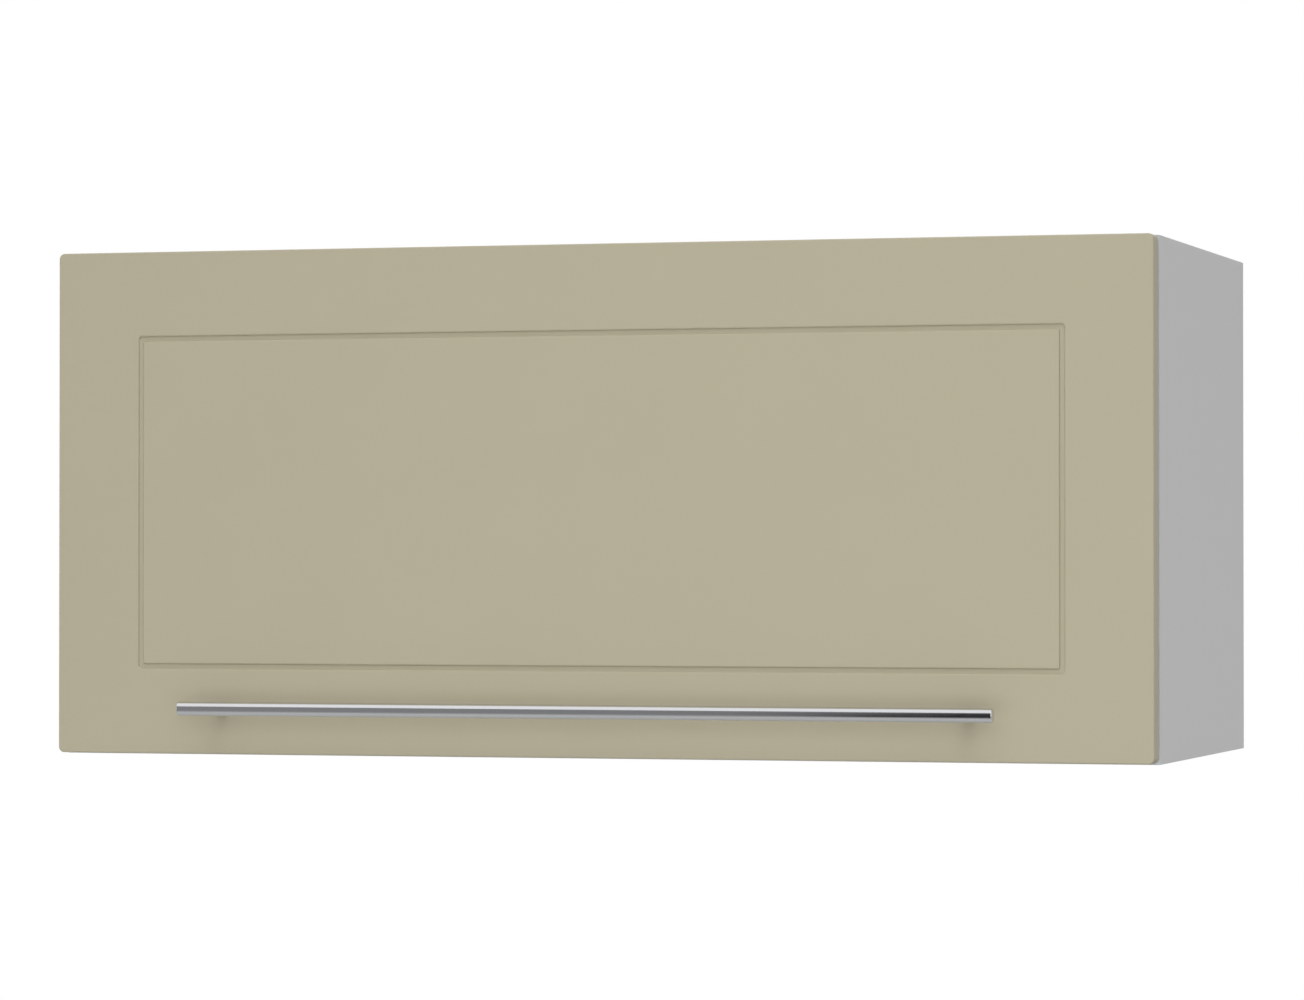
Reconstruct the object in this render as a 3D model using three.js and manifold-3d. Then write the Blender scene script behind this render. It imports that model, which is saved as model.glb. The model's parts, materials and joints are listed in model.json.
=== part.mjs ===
// A horizontal wall cabinet with one lift-up door: carcass, routed door, rail handle,
// cup hinges, spring lift stays with lever arms, cam-and-dowel corner joints and wall hangers.
//
// Millimetres. +X to the right, +Y towards the wall, +Z up.
// The wall plane is Y = 0, and Z = 0 is the middle of the top board's thickness.

import * as THREE from "three";
import { mergeVertices } from "three/addons/utils/BufferGeometryUtils.js";
import Module from "manifold-3d";

const wasm = await Module();
wasm.setup();

// ---------------------------------------------------------------- driving dimensions

// Carcass
const CABINET_WIDTH = 800;
const CABINET_HEIGHT = 360;
const CABINET_DEPTH = 330;
const BOARD = 16;
const BACK_THICKNESS = 3;
const BACK_RECESS = 18; // from the wall to the back panel's groove
const GROOVE_DEPTH = 8;
const GROOVE_PLAY = 0.2; // each side of the back panel
const GROOVE_END_PLAY = 0.5; // at the bottom of the groove

// Door
const DOOR_THICKNESS = 16;
const DOOR_SIDE_REVEAL = 0.4; // how far the door stops short of each side of the carcass
const DOOR_BOTTOM_REVEAL = 1; // and of its underside; the tops are flush
const DOOR_GAP = 3; // between the carcass and the closed door
const DOOR_CORNER = 4;
const DOOR_EDGE = 2.5; // rounding of the front edges
const DOOR_EASE = 1; // chamfer of the top rear edge, which swings past the carcass
const MOULDING_SIDE_INSET = 63.3; // door's side edge to the groove's centre line
const MOULDING_END_INSET = 62.3; // door's top or bottom edge to the groove's centre line
const MOULDING_WIDTH = 5.5;
const MOULDING_FLOOR = 3.2; // flat bottom of the groove
const MOULDING_DEPTH = 1.7;
const MOULDING_OUTER_CORNER = 3.2;
const MOULDING_INNER_CORNER = 0.6;

// Rail handle
const BAR_DIAMETER = 10;
const BAR_LENGTH = 590;
const BAR_CHAMFER = 0.6;
const BAR_STANDOFF = 30; // door face to the bar's centre
const BAR_ABOVE_EDGE = 33; // door's bottom edge to the bar's centre
const POST_SPACING = 544;
const POST_DIAMETER = 8;
const POST_SPIGOT_DIAMETER = 5;
const POST_SPIGOT_LENGTH = 3; // inside the bar's surface
const HANDLE_SCREW_DIAMETER = 4;
const HANDLE_SCREW_HEAD_DIAMETER = 8.4;
const HANDLE_SCREW_HEAD_HEIGHT = 2.2;
const HANDLE_SCREW_BITE = 9; // thread inside the post

// Cup hinges, one pivot each
const HINGE_FROM_END = 100; // side of the cabinet to the hinge's centre
const CUP_DIAMETER = 35;
const CUP_DEPTH = 12.4;
const CUP_WALL = 0.8;
const CUP_EDGE_DISTANCE = 4; // wood left between the cup's bore and the door's edge
const CUP_FLANGE_WIDTH = 62;
const CUP_FLANGE_HEIGHT = 24;
const CUP_FLANGE_THICKNESS = 1.2;
const CUP_SCREW_SPACING = 48;
const CUP_SCREW_HOLE = 4;
const HINGE_PIN_DIAMETER = 2.6;
const HINGE_PIN_DEPTH = 9; // behind the door's back face
const HINGE_EYE_DIAMETER = 4.2;
const HINGE_CHEEK = 3; // each of the cup's two cheeks that hold the pin
const HINGE_NECK_WIDTH = 8;
const HINGE_NECK_THICKNESS = 3.6; // where it passes under the raised door's edge
const HINGE_NECK_BEND = 4; // outside of the neck's bend
const HINGE_NECK_FILLET = 0.8; // inside of the neck's bend
const HINGE_ARM_WIDTH = 13.6;
const HINGE_ARM_SHEET = 1.4;
const HINGE_ARM_LENGTH = 60; // behind the carcass's front edge
const HINGE_CHANNEL_SETBACK = 9; // front edge to the channel
const HINGE_NOSE = 5; // solid front end of the channel
const HINGE_PLATE_SETBACK = 37; // front edge to the row of plate screws
const HINGE_PLATE_WIDTH = 50;
const HINGE_PLATE_WING_LENGTH = 14;
const HINGE_PLATE_WING_THICKNESS = 2.4;
const HINGE_PLATE_RIB_LENGTH = 44;
const HINGE_PLATE_RIB_HEIGHT = 8;
const HINGE_PLATE_SCREW_SPACING = 32;
const HINGE_PLATE_SCREW_HOLE = 5;

// Spring lift stays, a parallelogram on each side of the cabinet
const STAY_PIVOT_SETBACK = 112; // front edge to the lever's pivot
const STAY_PIVOT_DROP = 54; // below the door's pivot
const STAY_DOOR_DROP = 95; // door's pivot to the door bracket's pivot
const STAY_DOOR_OFFSET = 12; // door's back face to the bracket's pivot
const STAY_HOUSING_LENGTH = 120;
const STAY_HOUSING_HEIGHT = 76;
const STAY_HOUSING_THICKNESS = 19;
const STAY_HOUSING_CORNER = 10;
const STAY_NOSE = 36; // lever's pivot to the front of the housing
const STAY_COVER_THICKNESS = 2;
const STAY_COVER_LIP = 1.6; // the cover's rim outside the housing
const STAY_SHEET = 3; // lever and link
const STAY_LEVER_WIDTH = 22; // at the spring unit
const STAY_LINK_WIDTH = 14;
const STAY_SHAFT_DIAMETER = 10;
const STAY_RIVET_DIAMETER = 6;
const STAY_RIVET_HEAD = 10;
const STAY_RIVET_HEAD_HEIGHT = 1.2;
const STAY_BRACKET_SHEET = 2.4;
const STAY_BRACKET_HEIGHT = 46;
const STAY_BRACKET_WIDTH = 26;
const STAY_BRACKET_EAR = 28; // the ear's height at its foot
const STAY_BRACKET_HOLE = 4.4;

// Corner joints
const CAM_DIAMETER = 15;
const CAM_DEPTH = 12.2;
const CAM_FROM_END = 34; // board's end to the cam's centre
const CAM_SLOT = 8; // the cam's mouth for the bolt's head
const CAM_KEY_WIDTH = 1.6;
const CAM_KEY_LENGTH = 9;
const CAM_KEY_DEPTH = 2;
const BOLT_FRONT_SETBACK = 50; // front edge to the first bolt
const BOLT_REAR_SETBACK = 242;
const BOLT_THREAD_DIAMETER = 6;
const BOLT_THREAD_LENGTH = 11;
const BOLT_SHANK_DIAMETER = 6.6;
const BOLT_NECK_DIAMETER = 4;
const BOLT_NECK_LENGTH = 4;
const BOLT_HEAD_LENGTH = 3;
const DOWEL_DIAMETER = 8;
const DOWEL_LENGTH = 30;
const DOWEL_BITE = 11; // into the side board
const DOWEL_CHAMFER = 1;

// Wall hangers
const HANGER_WIDTH = 19;
const HANGER_HEIGHT = 62;
const HANGER_DEPTH = 36;
const HANGER_BELOW_TOP = 2; // under the top board
const HOOK_SHEET = 2.5;
const HOOK_HEIGHT = 22;
const HOOK_LIP_DROP = 10;
const HOOK_LIP_THICKNESS = 3.5;
const HOOK_BAR_HEIGHT = 9;
const HOOK_WALL_CLEARANCE = 3;
const HOOK_WINDOW_PLAY = 3; // round the hook in the back panel

// Door bumpers
const BUMPER_DIAMETER = 9;
const BUMPER_FROM_BOTTOM = 14;

// Clearances
const SEAT = 0.3; // between a piece and what it sits in or on
const RUNNING = 0.2; // round a pin that turns in its eye
const LAYER = 0.4; // between plates that pass each other

// Facets
const FINE_ROUND = 32;
const ROUND = 24;
const SMALL_ROUND = 12;
const CORNER_STEPS = 5;
const EDGE_STEPS = 4;

// ---------------------------------------------------------------- derived places

const HALF_WIDTH = CABINET_WIDTH / 2;
const INNER_X = HALF_WIDTH - BOARD;
const TOP_Z = BOARD / 2;
const UNDER_TOP_Z = TOP_Z - BOARD;
const BOTTOM_Z = TOP_Z - CABINET_HEIGHT;
const FLOOR_Z = BOTTOM_Z + BOARD;
const FRONT_Y = -CABINET_DEPTH;
const GROOVE_WIDTH = BACK_THICKNESS + 2 * GROOVE_PLAY;
const GROOVE_REAR_Y = -BACK_RECESS;
const GROOVE_FRONT_Y = GROOVE_REAR_Y - GROOVE_WIDTH;

const DOOR_BACK_Y = FRONT_Y - DOOR_GAP;
const DOOR_FRONT_Y = DOOR_BACK_Y - DOOR_THICKNESS;
const DOOR_WIDTH = CABINET_WIDTH - 2 * DOOR_SIDE_REVEAL;
const DOOR_HEIGHT = CABINET_HEIGHT - DOOR_BOTTOM_REVEAL;
const DOOR_TOP_Z = TOP_Z;
const DOOR_BOTTOM_Z = BOTTOM_Z + DOOR_BOTTOM_REVEAL;
const DOOR_MIDDLE_Z = (DOOR_TOP_Z + DOOR_BOTTOM_Z) / 2;

const BAR_Y = DOOR_FRONT_Y - BAR_STANDOFF;
const BAR_Z = DOOR_BOTTOM_Z + BAR_ABOVE_EDGE;
const BAR_RADIUS = BAR_DIAMETER / 2;

const HINGE_X = HALF_WIDTH - HINGE_FROM_END;
const CUP_BORE_RADIUS = CUP_DIAMETER / 2 + SEAT;
const CUP_INNER_RADIUS = CUP_DIAMETER / 2 - CUP_WALL;
const CUP_Z = DOOR_TOP_Z - CUP_EDGE_DISTANCE - CUP_BORE_RADIUS;
const CUP_CEILING = Math.sqrt(CUP_INNER_RADIUS ** 2 - (HINGE_NECK_WIDTH / 2) ** 2);

// The door's pivot: as near the cup's upper wall as the arm's eye lets it come.
const PIVOT_Y = DOOR_BACK_Y - HINGE_PIN_DEPTH;
const PIVOT_Z = CUP_Z + CUP_CEILING - SEAT - HINGE_EYE_DIAMETER / 2;

// The stay's four pivots make a parallelogram: door pivot, door bracket, link joint, lever pivot.
const BRACKET_Y = DOOR_BACK_Y + STAY_DOOR_OFFSET;
const BRACKET_Z = PIVOT_Z - STAY_DOOR_DROP;
const LEVER_Y = FRONT_Y + STAY_PIVOT_SETBACK;
const LEVER_Z = PIVOT_Z - STAY_PIVOT_DROP;
const ELBOW_Y = LEVER_Y + (BRACKET_Y - PIVOT_Y);
const ELBOW_Z = LEVER_Z + (BRACKET_Z - PIVOT_Z);

// The stay's layers, counted from the side board's inner face.
const COVER_LAYER = STAY_HOUSING_THICKNESS + SEAT;
const LEVER_LAYER = COVER_LAYER + STAY_COVER_THICKNESS + LAYER;
const LINK_LAYER = LEVER_LAYER + STAY_SHEET + LAYER;
const BRACKET_LAYER = LINK_LAYER + STAY_SHEET + LAYER;

const HANGER_FRONT_Y = GROOVE_FRONT_Y - SEAT - HANGER_DEPTH;
const HANGER_REAR_Y = GROOVE_FRONT_Y - SEAT;
const HANGER_TOP_Z = UNDER_TOP_Z - HANGER_BELOW_TOP;
const HOOK_TOP_Z = HANGER_TOP_Z - (HANGER_HEIGHT - HOOK_HEIGHT) / 2;

// ---------------------------------------------------------------- materials

function finish(name, color, roughness, metalness) {
  return new THREE.MeshStandardMaterial({ name, color, roughness, metalness });
}

const DOOR_FOIL = finish("matt foil on MDF", 0xb2ad96, 0.55, 0);
const WHITE_MELAMINE = finish("white melamine chipboard", 0xd8d8d6, 0.5, 0);
const WHITE_HARDBOARD = finish("white lacquered hardboard", 0xe2e2e0, 0.6, 0);
const CHROME = finish("chromed steel", 0xc8cacc, 0.12, 1);
const NICKEL = finish("nickel-plated steel", 0xb9b6b0, 0.3, 1);
const ZINC = finish("zinc die-casting", 0xa4a6a8, 0.4, 1);
const GREY_PLASTIC = finish("grey moulded ABS", 0xb9bbbd, 0.45, 0);
const BEECH = finish("beech", 0xc79a63, 0.7, 0);
const CLEAR_BUMPER = finish("soft clear polyurethane", 0xe8e8e4, 0.3, 0);

// ---------------------------------------------------------------- solids

const AXIS_X = new THREE.Vector3(1, 0, 0);
const AXIS_Y = new THREE.Vector3(0, 1, 0);
const AXIS_Z = new THREE.Vector3(0, 0, 1);

function toSolid(geometry) {
  const bare = new THREE.BufferGeometry();
  bare.setAttribute("position", geometry.getAttribute("position").clone());
  bare.setIndex(geometry.index ? geometry.index.clone() : null);
  const merged = mergeVertices(bare, 1e-4);
  return new wasm.Manifold(
    new wasm.Mesh({
      numProp: 3,
      vertProperties: new Float32Array(merged.attributes.position.array),
      triVerts: new Uint32Array(merged.index.array),
    }),
  );
}

function toGeometry(solid) {
  const mesh = solid.getMesh();
  const geometry = new THREE.BufferGeometry();
  geometry.setAttribute("position", new THREE.BufferAttribute(mesh.vertProperties, 3));
  geometry.setIndex(new THREE.BufferAttribute(mesh.triVerts, 1));
  const flat = geometry.toNonIndexed();
  flat.computeVertexNormals();
  return flat;
}

function cut(solid, ...tools) {
  return tools.reduce((rest, tool) => rest.subtract(tool), solid);
}

function join(first, ...others) {
  return others.reduce((sum, other) => sum.add(other), first);
}

// A box between two corners, in any order.
function block(a, b) {
  const box = new THREE.Box3().setFromPoints([new THREE.Vector3(...a), new THREE.Vector3(...b)]);
  const size = box.getSize(new THREE.Vector3());
  const centre = box.getCenter(new THREE.Vector3());
  const geometry = new THREE.BoxGeometry(size.x, size.y, size.z);
  return toSolid(geometry.translate(centre.x, centre.y, centre.z));
}

// A round bar between two points.
function bar(from, to, diameter, sides = ROUND) {
  const start = new THREE.Vector3(...from);
  const end = new THREE.Vector3(...to);
  const along = end.clone().sub(start);
  const length = along.length();
  const geometry = new THREE.CylinderGeometry(diameter / 2, diameter / 2, length, sides);
  const turn = new THREE.Quaternion().setFromUnitVectors(AXIS_Y, along.normalize());
  const middle = start.add(end).multiplyScalar(0.5);
  return toSolid(geometry.applyQuaternion(turn).translate(middle.x, middle.y, middle.z));
}

// A profile of [radius, distance] points turned round an axis that starts at a point.
function turned(profile, origin, axis, sides = SMALL_ROUND) {
  const points = profile.map(([radius, distance]) => new THREE.Vector2(radius, distance));
  const geometry = new THREE.LatheGeometry(points, sides);
  const turn = new THREE.Quaternion().setFromUnitVectors(AXIS_Y, axis);
  return toSolid(geometry.applyQuaternion(turn).translate(...origin));
}

// A shape drawn in the Y-Z plane and pushed along X between two positions.
function slabX(shape, x0, x1, curveSegments = 5) {
  const geometry = new THREE.ExtrudeGeometry(shape, {
    depth: Math.abs(x1 - x0),
    bevelEnabled: false,
    curveSegments,
  });
  geometry.applyMatrix4(new THREE.Matrix4().makeBasis(AXIS_Y, AXIS_Z, AXIS_X));
  return toSolid(geometry.translate(Math.min(x0, x1), 0, 0));
}

// A shape drawn in the X-Z plane, seen from the front, and pushed along Y between two positions.
function slabY(shape, y0, y1, curveSegments = 5) {
  const geometry = new THREE.ExtrudeGeometry(shape, {
    depth: Math.abs(y1 - y0),
    bevelEnabled: false,
    curveSegments,
  });
  geometry.applyMatrix4(new THREE.Matrix4().makeBasis(AXIS_X, AXIS_Z, AXIS_Y.clone().negate()));
  return toSolid(geometry.translate(0, Math.max(y0, y1), 0));
}

// A shape drawn in the X-Y plane and pushed along Z between two positions.
function slabZ(shape, z0, z1, curveSegments = 5) {
  const geometry = new THREE.ExtrudeGeometry(shape, {
    depth: Math.abs(z1 - z0),
    bevelEnabled: false,
    curveSegments,
  });
  return toSolid(geometry.translate(0, 0, Math.min(z0, z1)));
}

function polygon(points) {
  return new THREE.Shape(points.map(([a, b]) => new THREE.Vector2(a, b)));
}

// A rectangle about a centre with rounded corners.
function roundedRectangle(centre, width, height, radius) {
  const [a, b] = centre;
  const w = width / 2;
  const h = height / 2;
  const shape = new THREE.Shape();
  shape.absarc(a + w - radius, b + h - radius, radius, 0, Math.PI / 2);
  shape.absarc(a - w + radius, b + h - radius, radius, Math.PI / 2, Math.PI);
  shape.absarc(a - w + radius, b - h + radius, radius, Math.PI, 1.5 * Math.PI);
  shape.absarc(a + w - radius, b - h + radius, radius, 1.5 * Math.PI, 2 * Math.PI);
  return shape;
}

// The outline of a lever: two round ends of their own width, joined by tangents.
function leverOutline(from, to, fromWidth, toWidth) {
  const run = Math.hypot(to[0] - from[0], to[1] - from[1]);
  const heading = Math.atan2(to[1] - from[1], to[0] - from[0]);
  const lean = Math.acos((fromWidth - toWidth) / 2 / run);
  const shape = new THREE.Shape();
  shape.absarc(from[0], from[1], fromWidth / 2, heading + lean, heading - lean + 2 * Math.PI);
  shape.absarc(to[0], to[1], toWidth / 2, heading - lean, heading + lean);
  return shape;
}

function piece(name, solid, material) {
  const mesh = new THREE.Mesh(toGeometry(solid), material);
  mesh.name = name;
  return mesh;
}

const SIDES = [
  { side: "left", sign: -1 },
  { side: "right", sign: 1 },
];

const cabinet = new THREE.Group();

// ---------------------------------------------------------------- carcass boards

const BOLT_ROWS = [
  { row: "front", y: FRONT_Y + BOLT_FRONT_SETBACK },
  { row: "rear", y: FRONT_Y + BOLT_REAR_SETBACK },
];
const DOWEL_Y = FRONT_Y + (BOLT_FRONT_SETBACK + BOLT_REAR_SETBACK) / 2;
const CAM_X = INNER_X - CAM_FROM_END;

// The two horizontal boards. Cams are let in from the upper face, and the back panel's groove
// is on the inner side.
const LEVELS = [
  { level: "top", z: TOP_Z - BOARD / 2, face: TOP_Z, grooveSide: -1 },
  { level: "bottom", z: BOTTOM_Z + BOARD / 2, face: FLOOR_Z, grooveSide: 1 },
];

function sidePanel(sign) {
  const board = block([sign * INNER_X, FRONT_Y, BOTTOM_Z], [sign * HALF_WIDTH, 0, TOP_Z]);
  const groove = block(
    [sign * (INNER_X - 1), GROOVE_FRONT_Y, BOTTOM_Z - 1],
    [sign * (INNER_X + GROOVE_DEPTH), GROOVE_REAR_Y, TOP_Z + 1],
  );
  const holes = LEVELS.flatMap(({ z }) => [
    ...BOLT_ROWS.map(({ y }) =>
      bar(
        [sign * (INNER_X - 1), y, z],
        [sign * (INNER_X + BOLT_THREAD_LENGTH + SEAT), y, z],
        BOLT_THREAD_DIAMETER + 2 * SEAT,
        SMALL_ROUND,
      ),
    ),
    bar(
      [sign * (INNER_X - 1), DOWEL_Y, z],
      [sign * (INNER_X + DOWEL_BITE + SEAT), DOWEL_Y, z],
      DOWEL_DIAMETER + 2 * SEAT,
      SMALL_ROUND,
    ),
  ]);
  return cut(board, groove, ...holes);
}

function horizontalPanel({ z, face, grooveSide }) {
  const board = block([-INNER_X, FRONT_Y, z - BOARD / 2], [INNER_X, 0, z + BOARD / 2]);
  const innerFace = z + (grooveSide * BOARD) / 2;
  const groove = block(
    [-INNER_X - 1, GROOVE_FRONT_Y, innerFace + grooveSide],
    [INNER_X + 1, GROOVE_REAR_Y, innerFace - grooveSide * GROOVE_DEPTH],
  );
  const holes = SIDES.flatMap(({ sign }) => [
    ...BOLT_ROWS.flatMap(({ y }) => [
      bar(
        [sign * CAM_X, y, face + 1],
        [sign * CAM_X, y, face - CAM_DEPTH - SEAT],
        CAM_DIAMETER + 2 * SEAT,
      ),
      bar(
        [sign * CAM_X, y, z],
        [sign * (INNER_X + 1), y, z],
        CAM_SLOT,
        SMALL_ROUND,
      ),
    ]),
    bar(
      [sign * (INNER_X - (DOWEL_LENGTH - DOWEL_BITE) - SEAT), DOWEL_Y, z],
      [sign * (INNER_X + 1), DOWEL_Y, z],
      DOWEL_DIAMETER + 2 * SEAT,
      SMALL_ROUND,
    ),
  ]);
  return cut(board, groove, ...holes);
}

// The hanger hooks reach the wall through windows in the back panel's upper corners.
function backPanel() {
  const reach = GROOVE_DEPTH - GROOVE_END_PLAY;
  const rear = GROOVE_REAR_Y - GROOVE_PLAY;
  const panel = block(
    [-INNER_X - reach, rear - BACK_THICKNESS, FLOOR_Z - reach],
    [INNER_X + reach, rear, UNDER_TOP_Z + reach],
  );
  const windows = SIDES.map(({ sign }) => {
    const x = sign * (INNER_X - HANGER_WIDTH / 2);
    const half = HOOK_SHEET / 2 + HOOK_WINDOW_PLAY;
    return block(
      [x - half, GROOVE_FRONT_Y - 1, HOOK_TOP_Z + HOOK_WINDOW_PLAY],
      [x + half, GROOVE_REAR_Y + 1, HOOK_TOP_Z - HOOK_HEIGHT - HOOK_WINDOW_PLAY],
    );
  });
  return cut(panel, ...windows);
}

for (const { side, sign } of SIDES)
  cabinet.add(piece("side_panel_" + side, sidePanel(sign), WHITE_MELAMINE));
for (const level of LEVELS)
  cabinet.add(piece(level.level + "_panel", horizontalPanel(level), WHITE_MELAMINE));
cabinet.add(piece("back_panel", backPanel(), WHITE_HARDBOARD));

// ---------------------------------------------------------------- corner joints

// A cam with a mouth for the bolt's head, and a cross recess for the screwdriver.
function camLock(outward) {
  const body = bar([0, 0, 0], [0, 0, -CAM_DEPTH], CAM_DIAMETER);
  const mouthZ = -BOARD / 2;
  const mouth = block(
    [(-outward * CAM_SLOT) / 2, -CAM_SLOT / 2, mouthZ - CAM_SLOT / 2],
    [outward * CAM_DIAMETER, CAM_SLOT / 2, mouthZ + CAM_SLOT / 2],
  );
  const keys = [
    [CAM_KEY_LENGTH, CAM_KEY_WIDTH],
    [CAM_KEY_WIDTH, CAM_KEY_LENGTH],
  ].map(([a, b]) => block([-a / 2, -b / 2, -CAM_KEY_DEPTH], [a / 2, b / 2, 1]));
  return cut(body, mouth, ...keys);
}

// A steel bolt: thread in the side board, plain shank, then a neck and head inside the cam.
function camBolt() {
  const headStart = BOLT_THREAD_LENGTH + CAM_FROM_END - BOLT_HEAD_LENGTH / 2;
  const neckStart = headStart - BOLT_NECK_LENGTH;
  const profile = [
    [0, 0],
    [BOLT_THREAD_DIAMETER / 2 - 1, 0],
    [BOLT_THREAD_DIAMETER / 2, 1],
    [BOLT_THREAD_DIAMETER / 2, BOLT_THREAD_LENGTH],
    [BOLT_SHANK_DIAMETER / 2, BOLT_THREAD_LENGTH],
    [BOLT_SHANK_DIAMETER / 2, neckStart],
    [BOLT_NECK_DIAMETER / 2, neckStart],
    [BOLT_NECK_DIAMETER / 2, headStart],
    [BOLT_SHANK_DIAMETER / 2, headStart],
    [BOLT_SHANK_DIAMETER / 2, headStart + BOLT_HEAD_LENGTH - 1],
    [BOLT_SHANK_DIAMETER / 2 - 1, headStart + BOLT_HEAD_LENGTH],
    [0, headStart + BOLT_HEAD_LENGTH],
  ];
  return turned(profile, [0, 0, 0], AXIS_X);
}

function dowel() {
  const r = DOWEL_DIAMETER / 2;
  const profile = [
    [0, 0],
    [r - DOWEL_CHAMFER, 0],
    [r, DOWEL_CHAMFER],
    [r, DOWEL_LENGTH - DOWEL_CHAMFER],
    [r - DOWEL_CHAMFER, DOWEL_LENGTH],
    [0, DOWEL_LENGTH],
  ];
  return turned(profile, [0, 0, 0], AXIS_X);
}

for (const { level, z, face } of LEVELS) {
  for (const { side, sign } of SIDES) {
    for (const { row, y } of BOLT_ROWS) {
      const cam = piece(`cam_lock_${level}_${side}_${row}`, camLock(sign), ZINC);
      cam.position.set(sign * CAM_X, y, face);
      const bolt = piece(`cam_bolt_${level}_${side}_${row}`, camBolt(), NICKEL);
      bolt.position.set(sign * (INNER_X + BOLT_THREAD_LENGTH), y, z);
      bolt.rotation.z = sign > 0 ? Math.PI : 0;
      cabinet.add(cam, bolt);
    }
    const pin = piece(`wood_dowel_${level}_${side}`, dowel(), BEECH);
    pin.position.set(sign * (INNER_X + DOWEL_BITE), DOWEL_Y, z);
    pin.rotation.z = sign > 0 ? Math.PI : 0;
    cabinet.add(pin);
  }
}

// ---------------------------------------------------------------- door

// A moulding cutter carried round a rectangle. Each profile point is [outward offset, y].
function routedRing(width, height, profile) {
  const half = MOULDING_WIDTH / 2;
  const spread = MOULDING_OUTER_CORNER - MOULDING_INNER_CORNER;
  const cornerAt = (offset) => MOULDING_INNER_CORNER + (spread * (offset + half)) / (2 * half);
  const quarters = [
    [1, 1],
    [-1, 1],
    [-1, -1],
    [1, -1],
  ];
  const positions = [];
  quarters.forEach(([sx, sz], quarter) => {
    for (let step = 0; step <= CORNER_STEPS; step++) {
      const angle = ((quarter + step / CORNER_STEPS) * Math.PI) / 2;
      for (const [offset, y] of profile) {
        const radius = cornerAt(offset);
        const x = sx * (width / 2 + offset - radius) + radius * Math.cos(angle);
        const z = sz * (height / 2 + offset - radius) + radius * Math.sin(angle);
        positions.push(x, y, z);
      }
    }
  });
  const stops = 4 * (CORNER_STEPS + 1);
  const count = profile.length;
  const index = [];
  for (let i = 0; i < stops; i++) {
    for (let j = 0; j < count; j++) {
      const a = i * count + j;
      const b = ((i + 1) % stops) * count + j;
      const c = ((i + 1) % stops) * count + ((j + 1) % count);
      const d = i * count + ((j + 1) % count);
      index.push(a, b, c, a, c, d);
    }
  }
  const geometry = new THREE.BufferGeometry();
  geometry.setAttribute("position", new THREE.Float32BufferAttribute(positions, 3));
  geometry.setIndex(index);
  return geometry;
}

// The groove has sloping walls and a flat floor.
function grooveProfile() {
  const half = MOULDING_WIDTH / 2;
  const floor = MOULDING_FLOOR / 2;
  return [
    [half, DOOR_FRONT_Y - 1],
    [-half, DOOR_FRONT_Y - 1],
    [-half, DOOR_FRONT_Y],
    [-floor, DOOR_FRONT_Y + MOULDING_DEPTH],
    [floor, DOOR_FRONT_Y + MOULDING_DEPTH],
    [half, DOOR_FRONT_Y],
  ];
}

// Rounded front edges and square back edges, the top one eased.
function doorBlank() {
  const depth = DOOR_THICKNESS - DOOR_EDGE;
  const geometry = new THREE.ExtrudeGeometry(
    roundedRectangle([0, 0], DOOR_WIDTH, DOOR_HEIGHT, DOOR_CORNER),
    {
      depth,
      curveSegments: CORNER_STEPS,
      bevelSize: DOOR_EDGE,
      bevelOffset: -DOOR_EDGE,
      bevelThickness: DOOR_EDGE,
      bevelSegments: EDGE_STEPS,
    },
  );
  geometry.applyMatrix4(new THREE.Matrix4().makeBasis(AXIS_X, AXIS_Z, AXIS_Y.clone().negate()));
  geometry.translate(0, DOOR_BACK_Y, DOOR_MIDDLE_Z);
  const behind = block(
    [-CABINET_WIDTH, DOOR_BACK_Y, BOTTOM_Z - 10],
    [CABINET_WIDTH, DOOR_BACK_Y + DOOR_EDGE + 1, TOP_Z + 10],
  );
  const ease = slabX(
    polygon([
      [DOOR_BACK_Y + DOOR_EASE, DOOR_TOP_Z - 2 * DOOR_EASE],
      [DOOR_BACK_Y + DOOR_EASE, DOOR_TOP_Z + DOOR_EASE],
      [DOOR_BACK_Y - 2 * DOOR_EASE, DOOR_TOP_Z + DOOR_EASE],
    ]),
    -CABINET_WIDTH,
    CABINET_WIDTH,
  );
  return cut(toSolid(geometry), behind, ease);
}

function door() {
  const ring = toSolid(
    routedRing(
      DOOR_WIDTH - 2 * MOULDING_SIDE_INSET,
      DOOR_HEIGHT - 2 * MOULDING_END_INSET,
      grooveProfile(),
    ).translate(0, 0, DOOR_MIDDLE_Z),
  );
  const cups = SIDES.map(({ sign }) =>
    bar(
      [sign * HINGE_X, DOOR_BACK_Y + 1, CUP_Z],
      [sign * HINGE_X, DOOR_BACK_Y - CUP_DEPTH - SEAT, CUP_Z],
      2 * CUP_BORE_RADIUS,
      FINE_ROUND,
    ),
  );
  const handleHoles = SIDES.map(({ sign }) =>
    bar(
      [(sign * POST_SPACING) / 2, DOOR_BACK_Y + 1, BAR_Z],
      [(sign * POST_SPACING) / 2, DOOR_FRONT_Y - 1, BAR_Z],
      HANDLE_SCREW_DIAMETER + 2 * SEAT,
      SMALL_ROUND,
    ),
  );
  return cut(doorBlank(), ring, ...cups, ...handleHoles);
}

cabinet.add(piece("door", door(), DOOR_FOIL));

// ---------------------------------------------------------------- rail handle

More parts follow.
